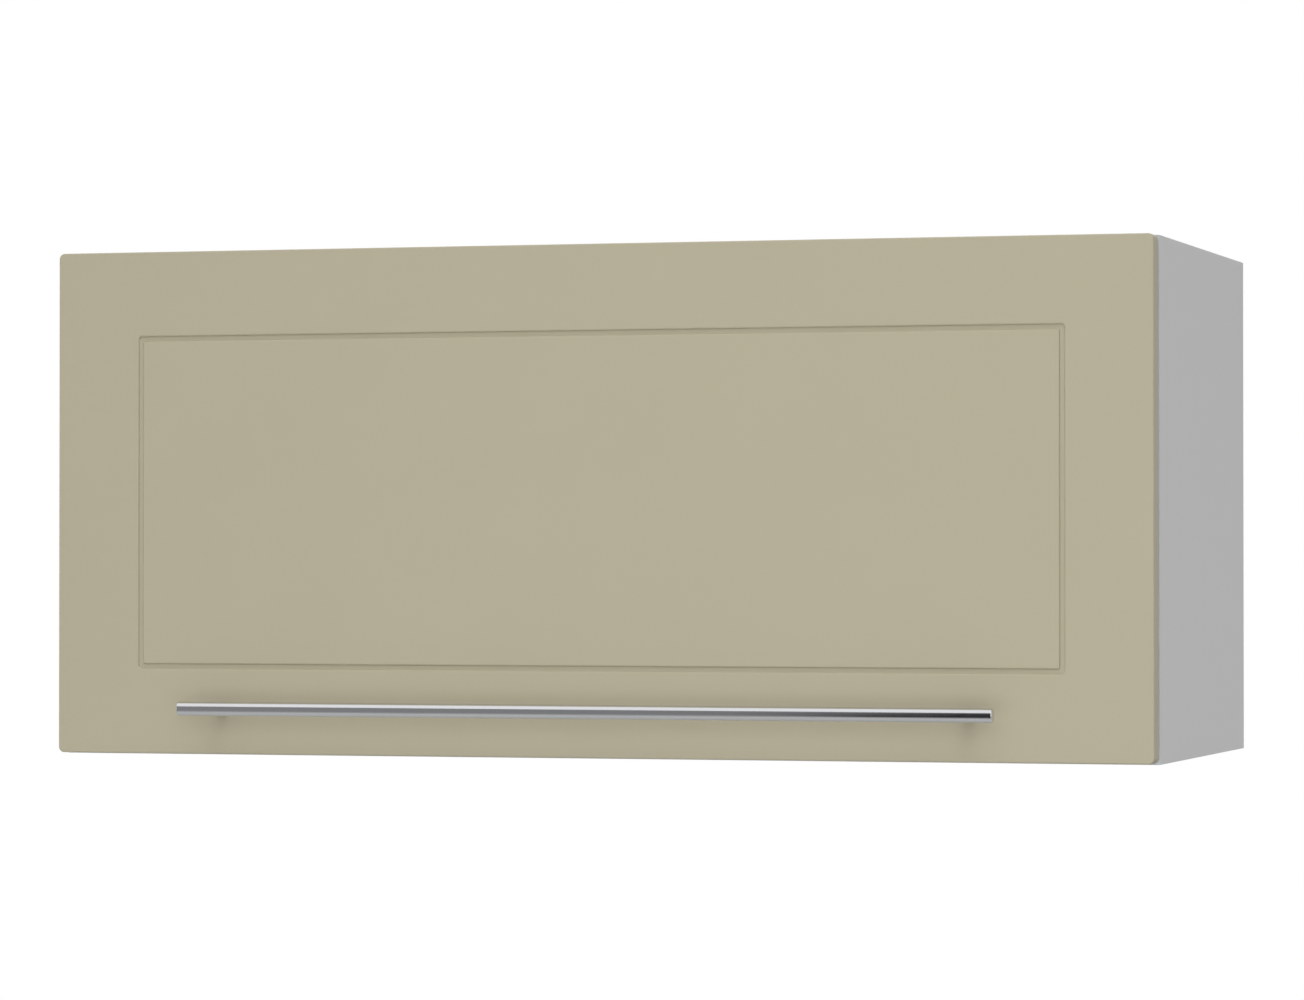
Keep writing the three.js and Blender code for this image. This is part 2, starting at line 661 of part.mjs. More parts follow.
function handleBar() {
  const half = BAR_LENGTH / 2;
  const profile = [
    [0, -half],
    [BAR_RADIUS - BAR_CHAMFER, -half],
    [BAR_RADIUS, -half + BAR_CHAMFER],
    [BAR_RADIUS, half - BAR_CHAMFER],
    [BAR_RADIUS - BAR_CHAMFER, half],
    [0, half],
  ];
  const sockets = SIDES.map(({ sign }) =>
    bar(
      [(sign * POST_SPACING) / 2, BAR_RADIUS + 1, 0],
      [(sign * POST_SPACING) / 2, BAR_RADIUS - POST_SPIGOT_LENGTH - SEAT, 0],
      POST_SPIGOT_DIAMETER + 2 * SEAT,
      SMALL_ROUND,
    ),
  );
  return cut(turned(profile, [0, 0, 0], AXIS_X, FINE_ROUND), ...sockets);
}

// A post is saddled to the round bar and carries a spigot that enters it.
function handlePost() {
  const foot = BAR_STANDOFF - SEAT;
  const saddle = bar([-BAR_DIAMETER, 0, 0], [BAR_DIAMETER, 0, 0], BAR_DIAMETER + 2 * SEAT);
  const column = bar([0, 0, 0], [0, foot, 0], POST_DIAMETER);
  const spigot = bar(
    [0, BAR_RADIUS - POST_SPIGOT_LENGTH, 0],
    [0, BAR_RADIUS + 2, 0],
    POST_SPIGOT_DIAMETER,
    SMALL_ROUND,
  );
  const thread = bar(
    [0, foot - HANDLE_SCREW_BITE - SEAT, 0],
    [0, foot + 1, 0],
    HANDLE_SCREW_DIAMETER + 2 * SEAT,
    SMALL_ROUND,
  );
  return cut(join(cut(column, saddle), spigot), thread);
}

function handleScrew() {
  const length = DOOR_THICKNESS + SEAT + HANDLE_SCREW_BITE;
  const head = HANDLE_SCREW_HEAD_DIAMETER / 2;
  const profile = [
    [0, -HANDLE_SCREW_HEAD_HEIGHT - SEAT],
    [head * 0.7, -HANDLE_SCREW_HEAD_HEIGHT - SEAT],
    [head, -HANDLE_SCREW_HEAD_HEIGHT * 0.4 - SEAT],
    [head, -SEAT],
    [HANDLE_SCREW_DIAMETER / 2, -SEAT],
    [HANDLE_SCREW_DIAMETER / 2, length],
    [0, length],
  ];
  return turned(profile, [0, 0, 0], AXIS_Y.clone().negate());
}

const handle = new THREE.Group();
handle.position.set(0, BAR_Y, BAR_Z);
handle.add(piece("handle_bar", handleBar(), CHROME));
for (const { side, sign } of SIDES) {
  const post = piece("handle_post_" + side, handlePost(), CHROME);
  post.position.x = (sign * POST_SPACING) / 2;
  const screw = piece("handle_screw_" + side, handleScrew(), NICKEL);
  screw.position.set((sign * POST_SPACING) / 2, DOOR_BACK_Y - BAR_Y, 0);
  handle.add(post, screw);
}
cabinet.add(handle);

// ---------------------------------------------------------------- cup hinges

// The cup sits in the door with its screw flange on the back face, and holds the pin.
function hingeCup() {
  const back = DOOR_BACK_Y + SEAT;
  const floor = DOOR_BACK_Y - CUP_DEPTH;
  const shell = bar([0, back, CUP_Z], [0, floor, CUP_Z], CUP_DIAMETER, FINE_ROUND);
  const flange = slabY(
    roundedRectangle(
      [0, CUP_Z],
      CUP_FLANGE_WIDTH,
      CUP_FLANGE_HEIGHT,
      CUP_FLANGE_HEIGHT / 2 - 1,
    ),
    back,
    back + CUP_FLANGE_THICKNESS,
  );
  const rim = bar(
    [0, back, CUP_Z],
    [0, back + CUP_FLANGE_THICKNESS, CUP_Z],
    CUP_DIAMETER,
    FINE_ROUND,
  );
  const hollow = bar(
    [0, back + 5, CUP_Z],
    [0, floor + CUP_WALL, CUP_Z],
    2 * CUP_INNER_RADIUS,
    FINE_ROUND,
  );
  const holes = SIDES.map(({ sign }) =>
    bar(
      [(sign * CUP_SCREW_SPACING) / 2, back - 1, CUP_Z],
      [(sign * CUP_SCREW_SPACING) / 2, back + 5, CUP_Z],
      CUP_SCREW_HOLE,
      SMALL_ROUND,
    ),
  );
  const cheekInner = HINGE_NECK_WIDTH / 2 + RUNNING;
  const cheeks = SIDES.map(({ sign }) =>
    shell.intersect(
      block(
        [sign * cheekInner, back, PIVOT_Z - HINGE_PIN_DIAMETER],
        [sign * (cheekInner + HINGE_CHEEK), floor + CUP_WALL / 2, CUP_Z + CUP_DIAMETER],
      ),
    ),
  );
  const pin = bar(
    [-cheekInner - HINGE_CHEEK / 2, PIVOT_Y, PIVOT_Z],
    [cheekInner + HINGE_CHEEK / 2, PIVOT_Y, PIVOT_Z],
    HINGE_PIN_DIAMETER,
    SMALL_ROUND,
  );
  return join(cut(join(shell, flange, rim), hollow, ...holes), ...cheeks, pin);
}

// Heights shared by the plate and the arm that is clipped over it.
const RIB_BOTTOM_Z = UNDER_TOP_Z - HINGE_PLATE_RIB_HEIGHT;
const ARM_BOTTOM_Z = RIB_BOTTOM_Z - SEAT - HINGE_ARM_SHEET;
const ARM_REAR_Y = FRONT_Y + HINGE_ARM_LENGTH;
const CHANNEL_FRONT_Y = FRONT_Y + HINGE_CHANNEL_SETBACK;
const RIB_FRONT_Y = CHANNEL_FRONT_Y + HINGE_NOSE + SEAT;

// The neck drops out of the cup, passes under the raised door's edge and meets the channel.
function hingeNeck() {
  const eye = HINGE_EYE_DIAMETER / 2;
  const flangeReach = HINGE_PIN_DEPTH + SEAT + CUP_FLANGE_THICKNESS;
  const passZ = PIVOT_Z - flangeReach - LAYER;
  const low = passZ - HINGE_NECK_THICKNESS;
  const front = PIVOT_Y - eye;
  const back = PIVOT_Y + eye;
  const shape = new THREE.Shape();
  shape.moveTo(front, PIVOT_Z);
  shape.lineTo(front, low + HINGE_NECK_BEND);
  shape.absarc(
    front + HINGE_NECK_BEND,
    low + HINGE_NECK_BEND,
    HINGE_NECK_BEND,
    Math.PI,
    1.5 * Math.PI,
    false,
  );
  shape.lineTo(FRONT_Y, low);
  shape.lineTo(CHANNEL_FRONT_Y, ARM_BOTTOM_Z);
  shape.lineTo(CHANNEL_FRONT_Y + HINGE_NOSE / 2, ARM_BOTTOM_Z);
  shape.lineTo(CHANNEL_FRONT_Y + HINGE_NOSE / 2, passZ);
  shape.lineTo(back + HINGE_NECK_FILLET, passZ);
  shape.absarc(
    back + HINGE_NECK_FILLET,
    passZ + HINGE_NECK_FILLET,
    HINGE_NECK_FILLET,
    1.5 * Math.PI,
    Math.PI,
    true,
  );
  shape.lineTo(back, PIVOT_Z);
  shape.absarc(PIVOT_Y, PIVOT_Z, eye, 0, Math.PI, false);
  const neck = slabX(shape, -HINGE_NECK_WIDTH / 2, HINGE_NECK_WIDTH / 2);
  const hole = bar(
    [-HINGE_NECK_WIDTH, PIVOT_Y, PIVOT_Z],
    [HINGE_NECK_WIDTH, PIVOT_Y, PIVOT_Z],
    HINGE_PIN_DIAMETER + 2 * RUNNING,
    SMALL_ROUND,
  );
  return cut(neck, hole);
}

function hingeArm() {
  const half = HINGE_ARM_WIDTH / 2;
  const channelTop = UNDER_TOP_Z - HINGE_PLATE_WING_THICKNESS - SEAT;
  const channel = cut(
    block([-half, CHANNEL_FRONT_Y, channelTop], [half, ARM_REAR_Y, ARM_BOTTOM_Z]),
    block(
      [-half + HINGE_ARM_SHEET, CHANNEL_FRONT_Y + HINGE_NOSE, channelTop + 1],
      [half - HINGE_ARM_SHEET, ARM_REAR_Y + 1, ARM_BOTTOM_Z + HINGE_ARM_SHEET],
    ),
  );
  return join(channel, hingeNeck());
}

function hingePlate() {
  const ribHalf = HINGE_ARM_WIDTH / 2 - HINGE_ARM_SHEET - SEAT;
  const row = FRONT_Y + HINGE_PLATE_SETBACK;
  const top = UNDER_TOP_Z - SEAT;
  const wing = slabZ(
    roundedRectangle([0, row], HINGE_PLATE_WIDTH, HINGE_PLATE_WING_LENGTH, 5),
    top,
    UNDER_TOP_Z - HINGE_PLATE_WING_THICKNESS,
  );
  const rib = block(
    [-ribHalf, RIB_FRONT_Y, top],
    [ribHalf, RIB_FRONT_Y + HINGE_PLATE_RIB_LENGTH, RIB_BOTTOM_Z],
  );
  const holes = SIDES.map(({ sign }) =>
    bar(
      [(sign * HINGE_PLATE_SCREW_SPACING) / 2, row, top + 1],
      [(sign * HINGE_PLATE_SCREW_SPACING) / 2, row, top - 10],
      HINGE_PLATE_SCREW_HOLE,
      SMALL_ROUND,
    ),
  );
  return cut(join(wing, rib), ...holes);
}

for (const { side, sign } of SIDES) {
  const hinge = new THREE.Group();
  hinge.position.x = sign * HINGE_X;
  hinge.add(piece("hinge_cup_" + side, hingeCup(), NICKEL));
  hinge.add(piece("hinge_arm_" + side, hingeArm(), NICKEL));
  hinge.add(piece("hinge_plate_" + side, hingePlate(), NICKEL));
  cabinet.add(hinge);
}

// ---------------------------------------------------------------- spring lift stays

// Each stay is drawn from the side board's inner face: d grows towards the middle.
function stayPieces(sign) {
  const at = (d) => sign * (INNER_X - d);
  const round = (y, z, d0, d1, diameter, sides = SMALL_ROUND) =>
    bar([at(d0), y, z], [at(d1), y, z], diameter, sides);
  const housingY = LEVER_Y - STAY_NOSE + STAY_HOUSING_LENGTH / 2;
  const housingOutline = (grow) =>
    roundedRectangle(
      [housingY, LEVER_Z],
      STAY_HOUSING_LENGTH + 2 * grow,
      STAY_HOUSING_HEIGHT + 2 * grow,
      STAY_HOUSING_CORNER + grow,
    );
  const rivetEnd = LINK_LAYER + STAY_SHEET + SEAT + STAY_RIVET_HEAD_HEIGHT;
  const shaftEnd = LEVER_LAYER + STAY_SHEET + SEAT + STAY_RIVET_HEAD_HEIGHT;

  // The spring unit, with the lever's shaft standing out of it.
  const housing = join(
    slabX(housingOutline(0), at(SEAT), at(STAY_HOUSING_THICKNESS)),
    round(LEVER_Y, LEVER_Z, STAY_HOUSING_THICKNESS - 1, shaftEnd, STAY_SHAFT_DIAMETER, ROUND),
    round(
      LEVER_Y,
      LEVER_Z,
      shaftEnd - STAY_RIVET_HEAD_HEIGHT,
      shaftEnd,
      STAY_SHAFT_DIAMETER + 4,
      ROUND,
    ),
  );

  // A clipped cover: a face plate with a rim round the housing's edge.
  const cover = cut(
    slabX(housingOutline(STAY_COVER_LIP + SEAT), at(COVER_LAYER - 6), at(COVER_LAYER + STAY_COVER_THICKNESS)),
    slabX(housingOutline(SEAT), at(COVER_LAYER - 7), at(COVER_LAYER)),
    round(
      LEVER_Y,
      LEVER_Z,
      COVER_LAYER - 1,
      COVER_LAYER + STAY_COVER_THICKNESS + 1,
      STAY_SHAFT_DIAMETER + 6,
      ROUND,
    ),
  );

  const lever = join(
    cut(
      slabX(
        leverOutline([LEVER_Y, LEVER_Z], [ELBOW_Y, ELBOW_Z], STAY_LEVER_WIDTH, STAY_LINK_WIDTH),
        at(LEVER_LAYER),
        at(LEVER_LAYER + STAY_SHEET),
      ),
      round(
        LEVER_Y,
        LEVER_Z,
        LEVER_LAYER - 1,
        LEVER_LAYER + STAY_SHEET + 1,
        STAY_SHAFT_DIAMETER + 2 * RUNNING,
        ROUND,
      ),
    ),
    round(ELBOW_Y, ELBOW_Z, LEVER_LAYER + 1, rivetEnd, STAY_RIVET_DIAMETER),
    round(ELBOW_Y, ELBOW_Z, rivetEnd - STAY_RIVET_HEAD_HEIGHT, rivetEnd, STAY_RIVET_HEAD),
  );

  const eyes = [
    [ELBOW_Y, ELBOW_Z],
    [BRACKET_Y, BRACKET_Z],
  ];
  const link = cut(
    slabX(
      leverOutline(eyes[0], eyes[1], STAY_LINK_WIDTH, STAY_LINK_WIDTH),
      at(LINK_LAYER),
      at(LINK_LAYER + STAY_SHEET),
    ),
    ...eyes.map(([y, z]) =>
      round(y, z, LINK_LAYER - 1, LINK_LAYER + STAY_SHEET + 1, STAY_RIVET_DIAMETER + 2 * RUNNING),
    ),
  );

  // The door bracket: a screwed foot, an ear, and the rivet that the link turns on.
  const footFace = DOOR_BACK_Y + SEAT;
  const earFront = footFace + STAY_BRACKET_SHEET;
  const ear = slabX(
    leverOutline(
      [footFace, BRACKET_Z],
      [BRACKET_Y, BRACKET_Z],
      STAY_BRACKET_EAR,
      STAY_LINK_WIDTH,
    ),
    at(BRACKET_LAYER),
    at(BRACKET_LAYER + STAY_BRACKET_SHEET),
  );
  const infront = block(
    [at(BRACKET_LAYER - 5), footFace, BRACKET_Z - STAY_BRACKET_HEIGHT],
    [at(BRACKET_LAYER + 10), footFace - 60, BRACKET_Z + STAY_BRACKET_HEIGHT],
  );
  const foot = block(
    [at(BRACKET_LAYER), footFace, BRACKET_Z - STAY_BRACKET_HEIGHT / 2],
    [at(BRACKET_LAYER + STAY_BRACKET_WIDTH), earFront, BRACKET_Z + STAY_BRACKET_HEIGHT / 2],
  );
  const screwD = BRACKET_LAYER + STAY_BRACKET_WIDTH / 2 + 2;
  const screwHoles = [-1, 1].map((up) =>
    bar(
      [at(screwD), footFace - 1, BRACKET_Z + (up * STAY_BRACKET_HEIGHT) / 4],
      [at(screwD), earFront + 1, BRACKET_Z + (up * STAY_BRACKET_HEIGHT) / 4],
      STAY_BRACKET_HOLE,
      SMALL_ROUND,
    ),
  );
  const pinTip = LINK_LAYER - SEAT - STAY_RIVET_HEAD_HEIGHT;
  const bracket = join(
    cut(join(cut(ear, infront), foot), ...screwHoles),
    round(BRACKET_Y, BRACKET_Z, BRACKET_LAYER + 1, pinTip, STAY_RIVET_DIAMETER),
    round(BRACKET_Y, BRACKET_Z, pinTip + STAY_RIVET_HEAD_HEIGHT, pinTip, STAY_RIVET_HEAD),
  );
  return { housing, cover, lever, link, bracket };
}

for (const { side, sign } of SIDES) {
  const stay = stayPieces(sign);
  cabinet.add(
    piece("stay_spring_unit_" + side, stay.housing, ZINC),
    piece("stay_cover_" + side, stay.cover, GREY_PLASTIC),
    piece("stay_lever_" + side, stay.lever, NICKEL),
    piece("stay_link_" + side, stay.link, NICKEL),
    piece("stay_door_bracket_" + side, stay.bracket, NICKEL),
  );
}

// ---------------------------------------------------------------- wall hangers

// The hook is a stamped plate: a tail held in the housing, a bar over the rail, and a lip.
function hangerHook() {
  const tail = HANGER_FRONT_Y + HANGER_DEPTH / 2;
  const tip = -HOOK_WALL_CLEARANCE;
  const outline = polygon([
    [tail, HOOK_TOP_Z],
    [tip, HOOK_TOP_Z],
    [tip, HOOK_TOP_Z - HOOK_BAR_HEIGHT - HOOK_LIP_DROP],
    [tip - HOOK_LIP_THICKNESS, HOOK_TOP_Z - HOOK_BAR_HEIGHT - HOOK_LIP_DROP],
    [tip - HOOK_LIP_THICKNESS, HOOK_TOP_Z - HOOK_BAR_HEIGHT],
    [HANGER_REAR_Y + BACK_THICKNESS + 2, HOOK_TOP_Z - HOOK_BAR_HEIGHT],
    [HANGER_REAR_Y + BACK_THICKNESS + 2, HOOK_TOP_Z - HOOK_HEIGHT],
    [tail, HOOK_TOP_Z - HOOK_HEIGHT],
  ]);
  return slabX(outline, -HOOK_SHEET / 2, HOOK_SHEET / 2);
}

function hangerHousing() {
  const body = slabX(
    roundedRectangle(
      [(HANGER_FRONT_Y + HANGER_REAR_Y) / 2, HANGER_TOP_Z - HANGER_HEIGHT / 2],
      HANGER_DEPTH,
      HANGER_HEIGHT,
      3,
    ),
    -HANGER_WIDTH / 2 + SEAT,
    HANGER_WIDTH / 2,
  );
  const slot = block(
    [-HOOK_SHEET / 2 - SEAT, HANGER_FRONT_Y + HANGER_DEPTH / 2 - SEAT, HOOK_TOP_Z + SEAT],
    [HOOK_SHEET / 2 + SEAT, HANGER_REAR_Y + 1, HOOK_TOP_Z - HOOK_HEIGHT - SEAT],
  );
  return cut(body, slot);
}

for (const { side, sign } of SIDES) {
  const hanger = new THREE.Group();
  hanger.position.x = sign * (INNER_X - HANGER_WIDTH / 2);
  hanger.add(piece("hanger_housing_" + side, hangerHousing(), GREY_PLASTIC));
  hanger.add(piece("hanger_hook_" + side, hangerHook(), NICKEL));
  cabinet.add(hanger);
}

// ---------------------------------------------------------------- door bumpers

for (const { side, sign } of SIDES) {
  const height = DOOR_GAP - SEAT;
  const r = BUMPER_DIAMETER / 2;
  const profile = [
    [0, 0],
    [r, 0],
    [r * 0.9, height * 0.6],
    [r * 0.5, height],
    [0, height],
  ];
  const bumper = piece("door_bumper_" + side, turned(profile, [0, 0, 0], AXIS_Y), CLEAR_BUMPER);
  bumper.position.set(
    sign * (HALF_WIDTH - BOARD / 2),
    DOOR_BACK_Y,
    DOOR_BOTTOM_Z + BUMPER_FROM_BOTTOM,
  );
  cabinet.add(bumper);
}

export default cabinet;
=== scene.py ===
"""A lift-up wall cabinet, finished for rendering on its fixed CAD frame."""

import json
import math

import bmesh
import bpy
from bpy.props import FloatProperty, FloatVectorProperty, IntProperty, PointerProperty
from mathutils import Matrix, Vector

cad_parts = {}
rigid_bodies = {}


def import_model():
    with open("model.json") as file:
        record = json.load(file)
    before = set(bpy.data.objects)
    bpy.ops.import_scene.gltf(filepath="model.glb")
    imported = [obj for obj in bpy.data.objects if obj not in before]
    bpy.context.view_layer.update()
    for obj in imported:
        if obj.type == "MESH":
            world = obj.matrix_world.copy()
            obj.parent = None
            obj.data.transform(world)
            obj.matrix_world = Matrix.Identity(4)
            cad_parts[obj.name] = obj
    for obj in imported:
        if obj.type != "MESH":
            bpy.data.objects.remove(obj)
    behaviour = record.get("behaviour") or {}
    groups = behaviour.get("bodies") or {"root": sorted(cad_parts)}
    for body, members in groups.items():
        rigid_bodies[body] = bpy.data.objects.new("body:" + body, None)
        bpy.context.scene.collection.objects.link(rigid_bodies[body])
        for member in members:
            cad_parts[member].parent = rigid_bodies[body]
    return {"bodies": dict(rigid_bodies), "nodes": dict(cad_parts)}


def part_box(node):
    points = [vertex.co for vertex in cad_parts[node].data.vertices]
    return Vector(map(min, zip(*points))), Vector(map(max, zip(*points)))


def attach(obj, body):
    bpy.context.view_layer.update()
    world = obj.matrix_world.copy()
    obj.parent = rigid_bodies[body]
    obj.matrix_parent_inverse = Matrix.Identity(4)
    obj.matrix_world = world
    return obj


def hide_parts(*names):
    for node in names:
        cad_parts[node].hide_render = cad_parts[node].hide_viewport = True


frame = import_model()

bl_info = {
    "name": "Lift-up Wall Cabinet",
    "version": (1, 0, 0),
    "blender": (4, 5, 0),
    "location": "3D View > Sidebar > Wall Cabinet",
    "description": "Boards, routed door, rail handle and fittings of a lift-up wall cabinet",
    "category": "Object",
}

MM = 0.001
SIDES = (("left", -1), ("right", 1))
QUARTERS = ((1, 1), (-1, 1), (-1, -1), (1, -1))
FORWARD, BACKWARD, DOWNWARD = (0, -1, 0), (0, 1, 0), (0, 0, -1)
BLACK, WHITE = (0, 0, 0, 1), (1, 1, 1, 1)

# Radius of a hinge cup. Its middle lies this far above the lower end of its box.
CUP_RADIUS = 17.5 * MM

# Diameter and height of every screw's head.
SCREW_HEADS = {
    "handle_fixing": (8.4 * MM, 2.2 * MM),
    "hinge_screw": (7 * MM, 1.9 * MM),
    "plate_screw": (9 * MM, 2.1 * MM),
    "arm_screw": (6.4 * MM, 1.3 * MM),
    "bracket_screw": (7.5 * MM, 2.2 * MM),
    "tension_screw": (9 * MM, 1.4 * MM),
    "hanger_screw": (8 * MM, 1.6 * MM),
}


# ---------------------------------------------------------------- colours and sizes


def linear(hex_colour):
    """Turns an sRGB hex colour into linear red, green and blue."""
    channels = [int(hex_colour[i : i + 2], 16) / 255 for i in (0, 2, 4)]
    return tuple(c / 12.92 if c <= 0.04045 else ((c + 0.055) / 1.055) ** 2.4 for c in channels)


def opaque(colour, factor=1.0):
    """A colour for a node's socket, made darker or lighter by a factor."""
    return (colour[0] * factor, colour[1] * factor, colour[2] * factor, 1.0)


def length_prop(name, description, millimetres, **limits):
    """A length, written in millimetres and kept in metres."""
    return FloatProperty(
        name=name, description=description, default=millimetres * MM, unit="LENGTH", **limits
    )


def colour_prop(name, description, hex_colour):
    """A colour, written as sRGB hex and kept linear."""
    return FloatVectorProperty(
        name=name, description=description, default=linear(hex_colour), subtype="COLOR", size=3
    )


def light_prop(name, description, level, **unit):
    """A level of light, or with its unit the power of a lamp."""
    return FloatProperty(name=name, description=description, default=level, **unit)


class CarcassSettings(bpy.types.PropertyGroup):
    """Boards and back panel."""

    edge_round: length_prop("Edge rounding", "Radius scraped along the edge banding", 0.4, min=0.0)
    edging: length_prop("Edging", "Thickness of the edge banding", 0.8, min=0.0)
    board_colour: colour_prop("Board", "Melamine facing of the boards", "c5c5c5")
    edging_colour: colour_prop("Edging", "Edge banding", "c4c7c9")
    chipboard_colour: colour_prop(
        "Chipboard", "Bare wood chips in cuts and on the rear edges", "b8976a"
    )
    lacquer_colour: colour_prop("Back panel, inside", "Lacquered face of the hardboard", "dadad8")
    hardboard_colour: colour_prop("Back panel, wall side", "Bare face of the hardboard", "8a6545")


class DoorSettings(bpy.types.PropertyGroup):
    """The routed door."""

    corner: length_prop(
        "Corner", "Radius of the door's outline at its four corners", 4, min=0.0
    )
    front_edge: length_prop(
        "Front edge", "Rounding of the front edges under the foil", 1.0, min=0.0
    )
    groove_side_inset: length_prop(
        "Groove, sides", "Door's side edge to the middle of the routed groove", 63.3
    )
    groove_end_inset: length_prop(
        "Groove, top and bottom",
        "Door's top or bottom edge to the middle of the routed groove",
        62.3,
    )
    groove_width: length_prop("Groove width", "Width of the routed groove", 5.8)
    groove_floor: length_prop(
        "Groove floor", "Width of the flat floor between the groove's steep walls", 3.1
    )
    groove_depth: length_prop("Groove depth", "Depth of the routed groove", 1.85)
    groove_shoulder: length_prop(
        "Groove shoulder", "Radius over which the foil turns into the groove", 1.25
    )
    groove_outer_corner: length_prop(
        "Outer corner", "Corner radius on the groove's outer side", 3.2
    )
    groove_inner_corner: length_prop(
        "Inner corner", "Corner radius on the groove's inner side", 0.6
    )
    top_ease: length_prop(
        "Top rear edge", "Chamfer that lets the rising door clear the carcass", 1.0, min=0.0
    )
    foil_round: length_prop(
        "Foil rounding", "Smallest radius that the foil bridges at a cut edge", 0.35
    )
    foil_colour: colour_prop("Foil", "Foil on the front and the edges", "b0a992")
    backing_colour: colour_prop("Backing", "Laminate on the rear face", "d6d6d4")
    fibre_colour: colour_prop("Fibreboard", "Bare fibreboard inside the bores", "a98358")


class HandleSettings(bpy.types.PropertyGroup):
    """The rail handle."""

    end_chamfer: length_prop("End chamfer", "Chamfer at both ends of the bar", 0.5)
    post_diameter: length_prop("Post diameter", "Diameter of the two posts", 8)
    chrome_colour: colour_prop("Chrome", "Chromium plating", "dcdde0")


class FittingSettings(bpy.types.PropertyGroup):
    """Hinges, lift stays, corner joints, hangers and bumpers."""

    stamped_edge: length_prop("Stamped edge", "Edge rounding of pressed steel parts", 0.25)
    moulded_edge: length_prop("Moulded edge", "Edge rounding of moulded plastic parts", 0.6)
    turned_sides: IntProperty(
        name="Turned sides",
        description="Facets round each turned part",
        default=48,
        min=12,
        max=128,
    )
    plate_row: length_prop(
        "Plate screws", "Carcass's front edge to the row of the hinge plate's screws", 37
    )
    plate_sheet: length_prop("Plate thickness", "Thickness of the hinge plate's wings", 2.4)
    bracket_sheet: length_prop("Bracket thickness", "Thickness of the stay's door bracket", 2.4)
    link_width: length_prop("Link width", "Width of the stay's link, round at both ends", 14)
    rivet_head: length_prop("Rivet head", "Diameter of the stay's domed rivet heads", 11.2)
    ear_depth: length_prop(
        "Ear depth", "Outer end of the door bracket's rivet to the inner face of its ear", 7.3
    )
    cover_relief: length_prop(
        "Cover relief", "How far the moulded panel stands out of the stay's cover", 0.6
    )
    bracket_screw_inset: length_prop(
        "Bracket screws", "Inner edge of the door bracket's foot to its screws", 11
    )
    nickel_colour: colour_prop("Nickel", "Nickel plating on pressed steel", "c4c0b8")
    zinc_colour: colour_prop("Zinc", "Zinc die-castings and zinc-plated screws", "adb0b3")
    plastic_colour: colour_prop("Grey plastic", "Moulded covers and hanger housings", "b4b7ba")
    cap_colour: colour_prop("Cap", "Push-in caps over the cams", "dcdcda")
    beech_colour: colour_prop("Beech", "Wood dowels", "c79a63")
    bumper_colour: colour_prop("Bumper", "Clear bumpers between door and carcass", "e8e8e4")


class StageSettings(bpy.types.PropertyGroup):
    """Camera, floor and light."""

    camera_place: FloatVectorProperty(
        name="Camera",
        description="Where the camera stands",
        subtype="TRANSLATION",
        unit="LENGTH",
        size=3,
        default=(1.0406, -3.6906, -0.2166),
    )
    camera_yaw: FloatProperty(
        name="Yaw",
        description="How far the camera is turned to the left",
        default=math.radians(16.573),
        subtype="ANGLE",
    )
    camera_pitch: FloatProperty(
        name="Pitch",
        description="How far the camera looks up",
        default=math.radians(0.747),
        subtype="ANGLE",
    )
    lens: FloatProperty(
        name="Lens",
        description="Focal length on a sensor 36 mm wide, in millimetres",
        default=138.49,
    )
    floor_drop: length_prop(
        "Floor drop", "Floor below the cabinet, as far as a worktop would be", 600
    )
    floor_colour: colour_prop("Floor", "Plain pale floor", "c8c8c6")
    ambient: light_prop("Ambient", "Level of the even light from all round", 0.13)
    sky: light_prop("From above", "Level that the even light gains towards the zenith", 0.86)
    fore: light_prop(
        "From the front", "Level that the even light gains towards the viewer's side", 0.27
    )
    room_left: light_prop(
        "Room, left", "Level of the room's left half in mirror reflections", 0.26
    )
    room_right: light_prop(
        "Room, right", "Level of the room behind the camera in mirror reflections", 0.012
    )
    room_near: light_prop(
        "Room, near", "Level at which the room meets the floor in mirror reflections", 0.5
    )
    front_lamp: light_prop(
        "Front lamp", "Power of the large soft lamp behind the camera", 31.0, unit="POWER"
    )
    high_lamp: light_prop(
        "High lamp",
        "Power of the lamp high in front, which lights the lower lip of every groove",
        19.0,
        unit="POWER",
    )
    low_lamp: light_prop(
        "Low lamp",
        "Power of the lamp near the floor, which lights the door's lower edge",
        14.0,
        unit="POWER",
    )


SETTINGS = {
    "cabinet_carcass": CarcassSettings,
    "cabinet_door": DoorSettings,
    "cabinet_handle": HandleSettings,
    "cabinet_fittings": FittingSettings,
    "cabinet_stage": StageSettings,
}


# ---------------------------------------------------------------- materials


def add_node(tree, kind, sockets=None, **settings):
    """Adds a node. settings are its properties.

    sockets gives each input a value, an output, or a node whose first output it takes.
    """
    node = tree.nodes.new(kind)
    for name, value in settings.items():
        setattr(node, name, value)
    for socket, value in (sockets or {}).items():
        if isinstance(value, bpy.types.Node):
            value = value.outputs[0]
        if isinstance(value, bpy.types.NodeSocket):
            tree.links.new(value, node.inputs[socket])
        else:
            node.inputs[socket].default_value = value
    return node


def start_material(name, values):
    """A new material, its node tree, its shader with values set, and the places in the piece."""
    material = bpy.data.materials.new(name)
    material.use_nodes = True
    tree = material.node_tree
    shader = tree.nodes["Principled BSDF"]
    for socket, value in values.items():
        shader.inputs[socket].default_value = value
    return material, tree, shader, add_node(tree, "ShaderNodeTexCoord").outputs["Object"]


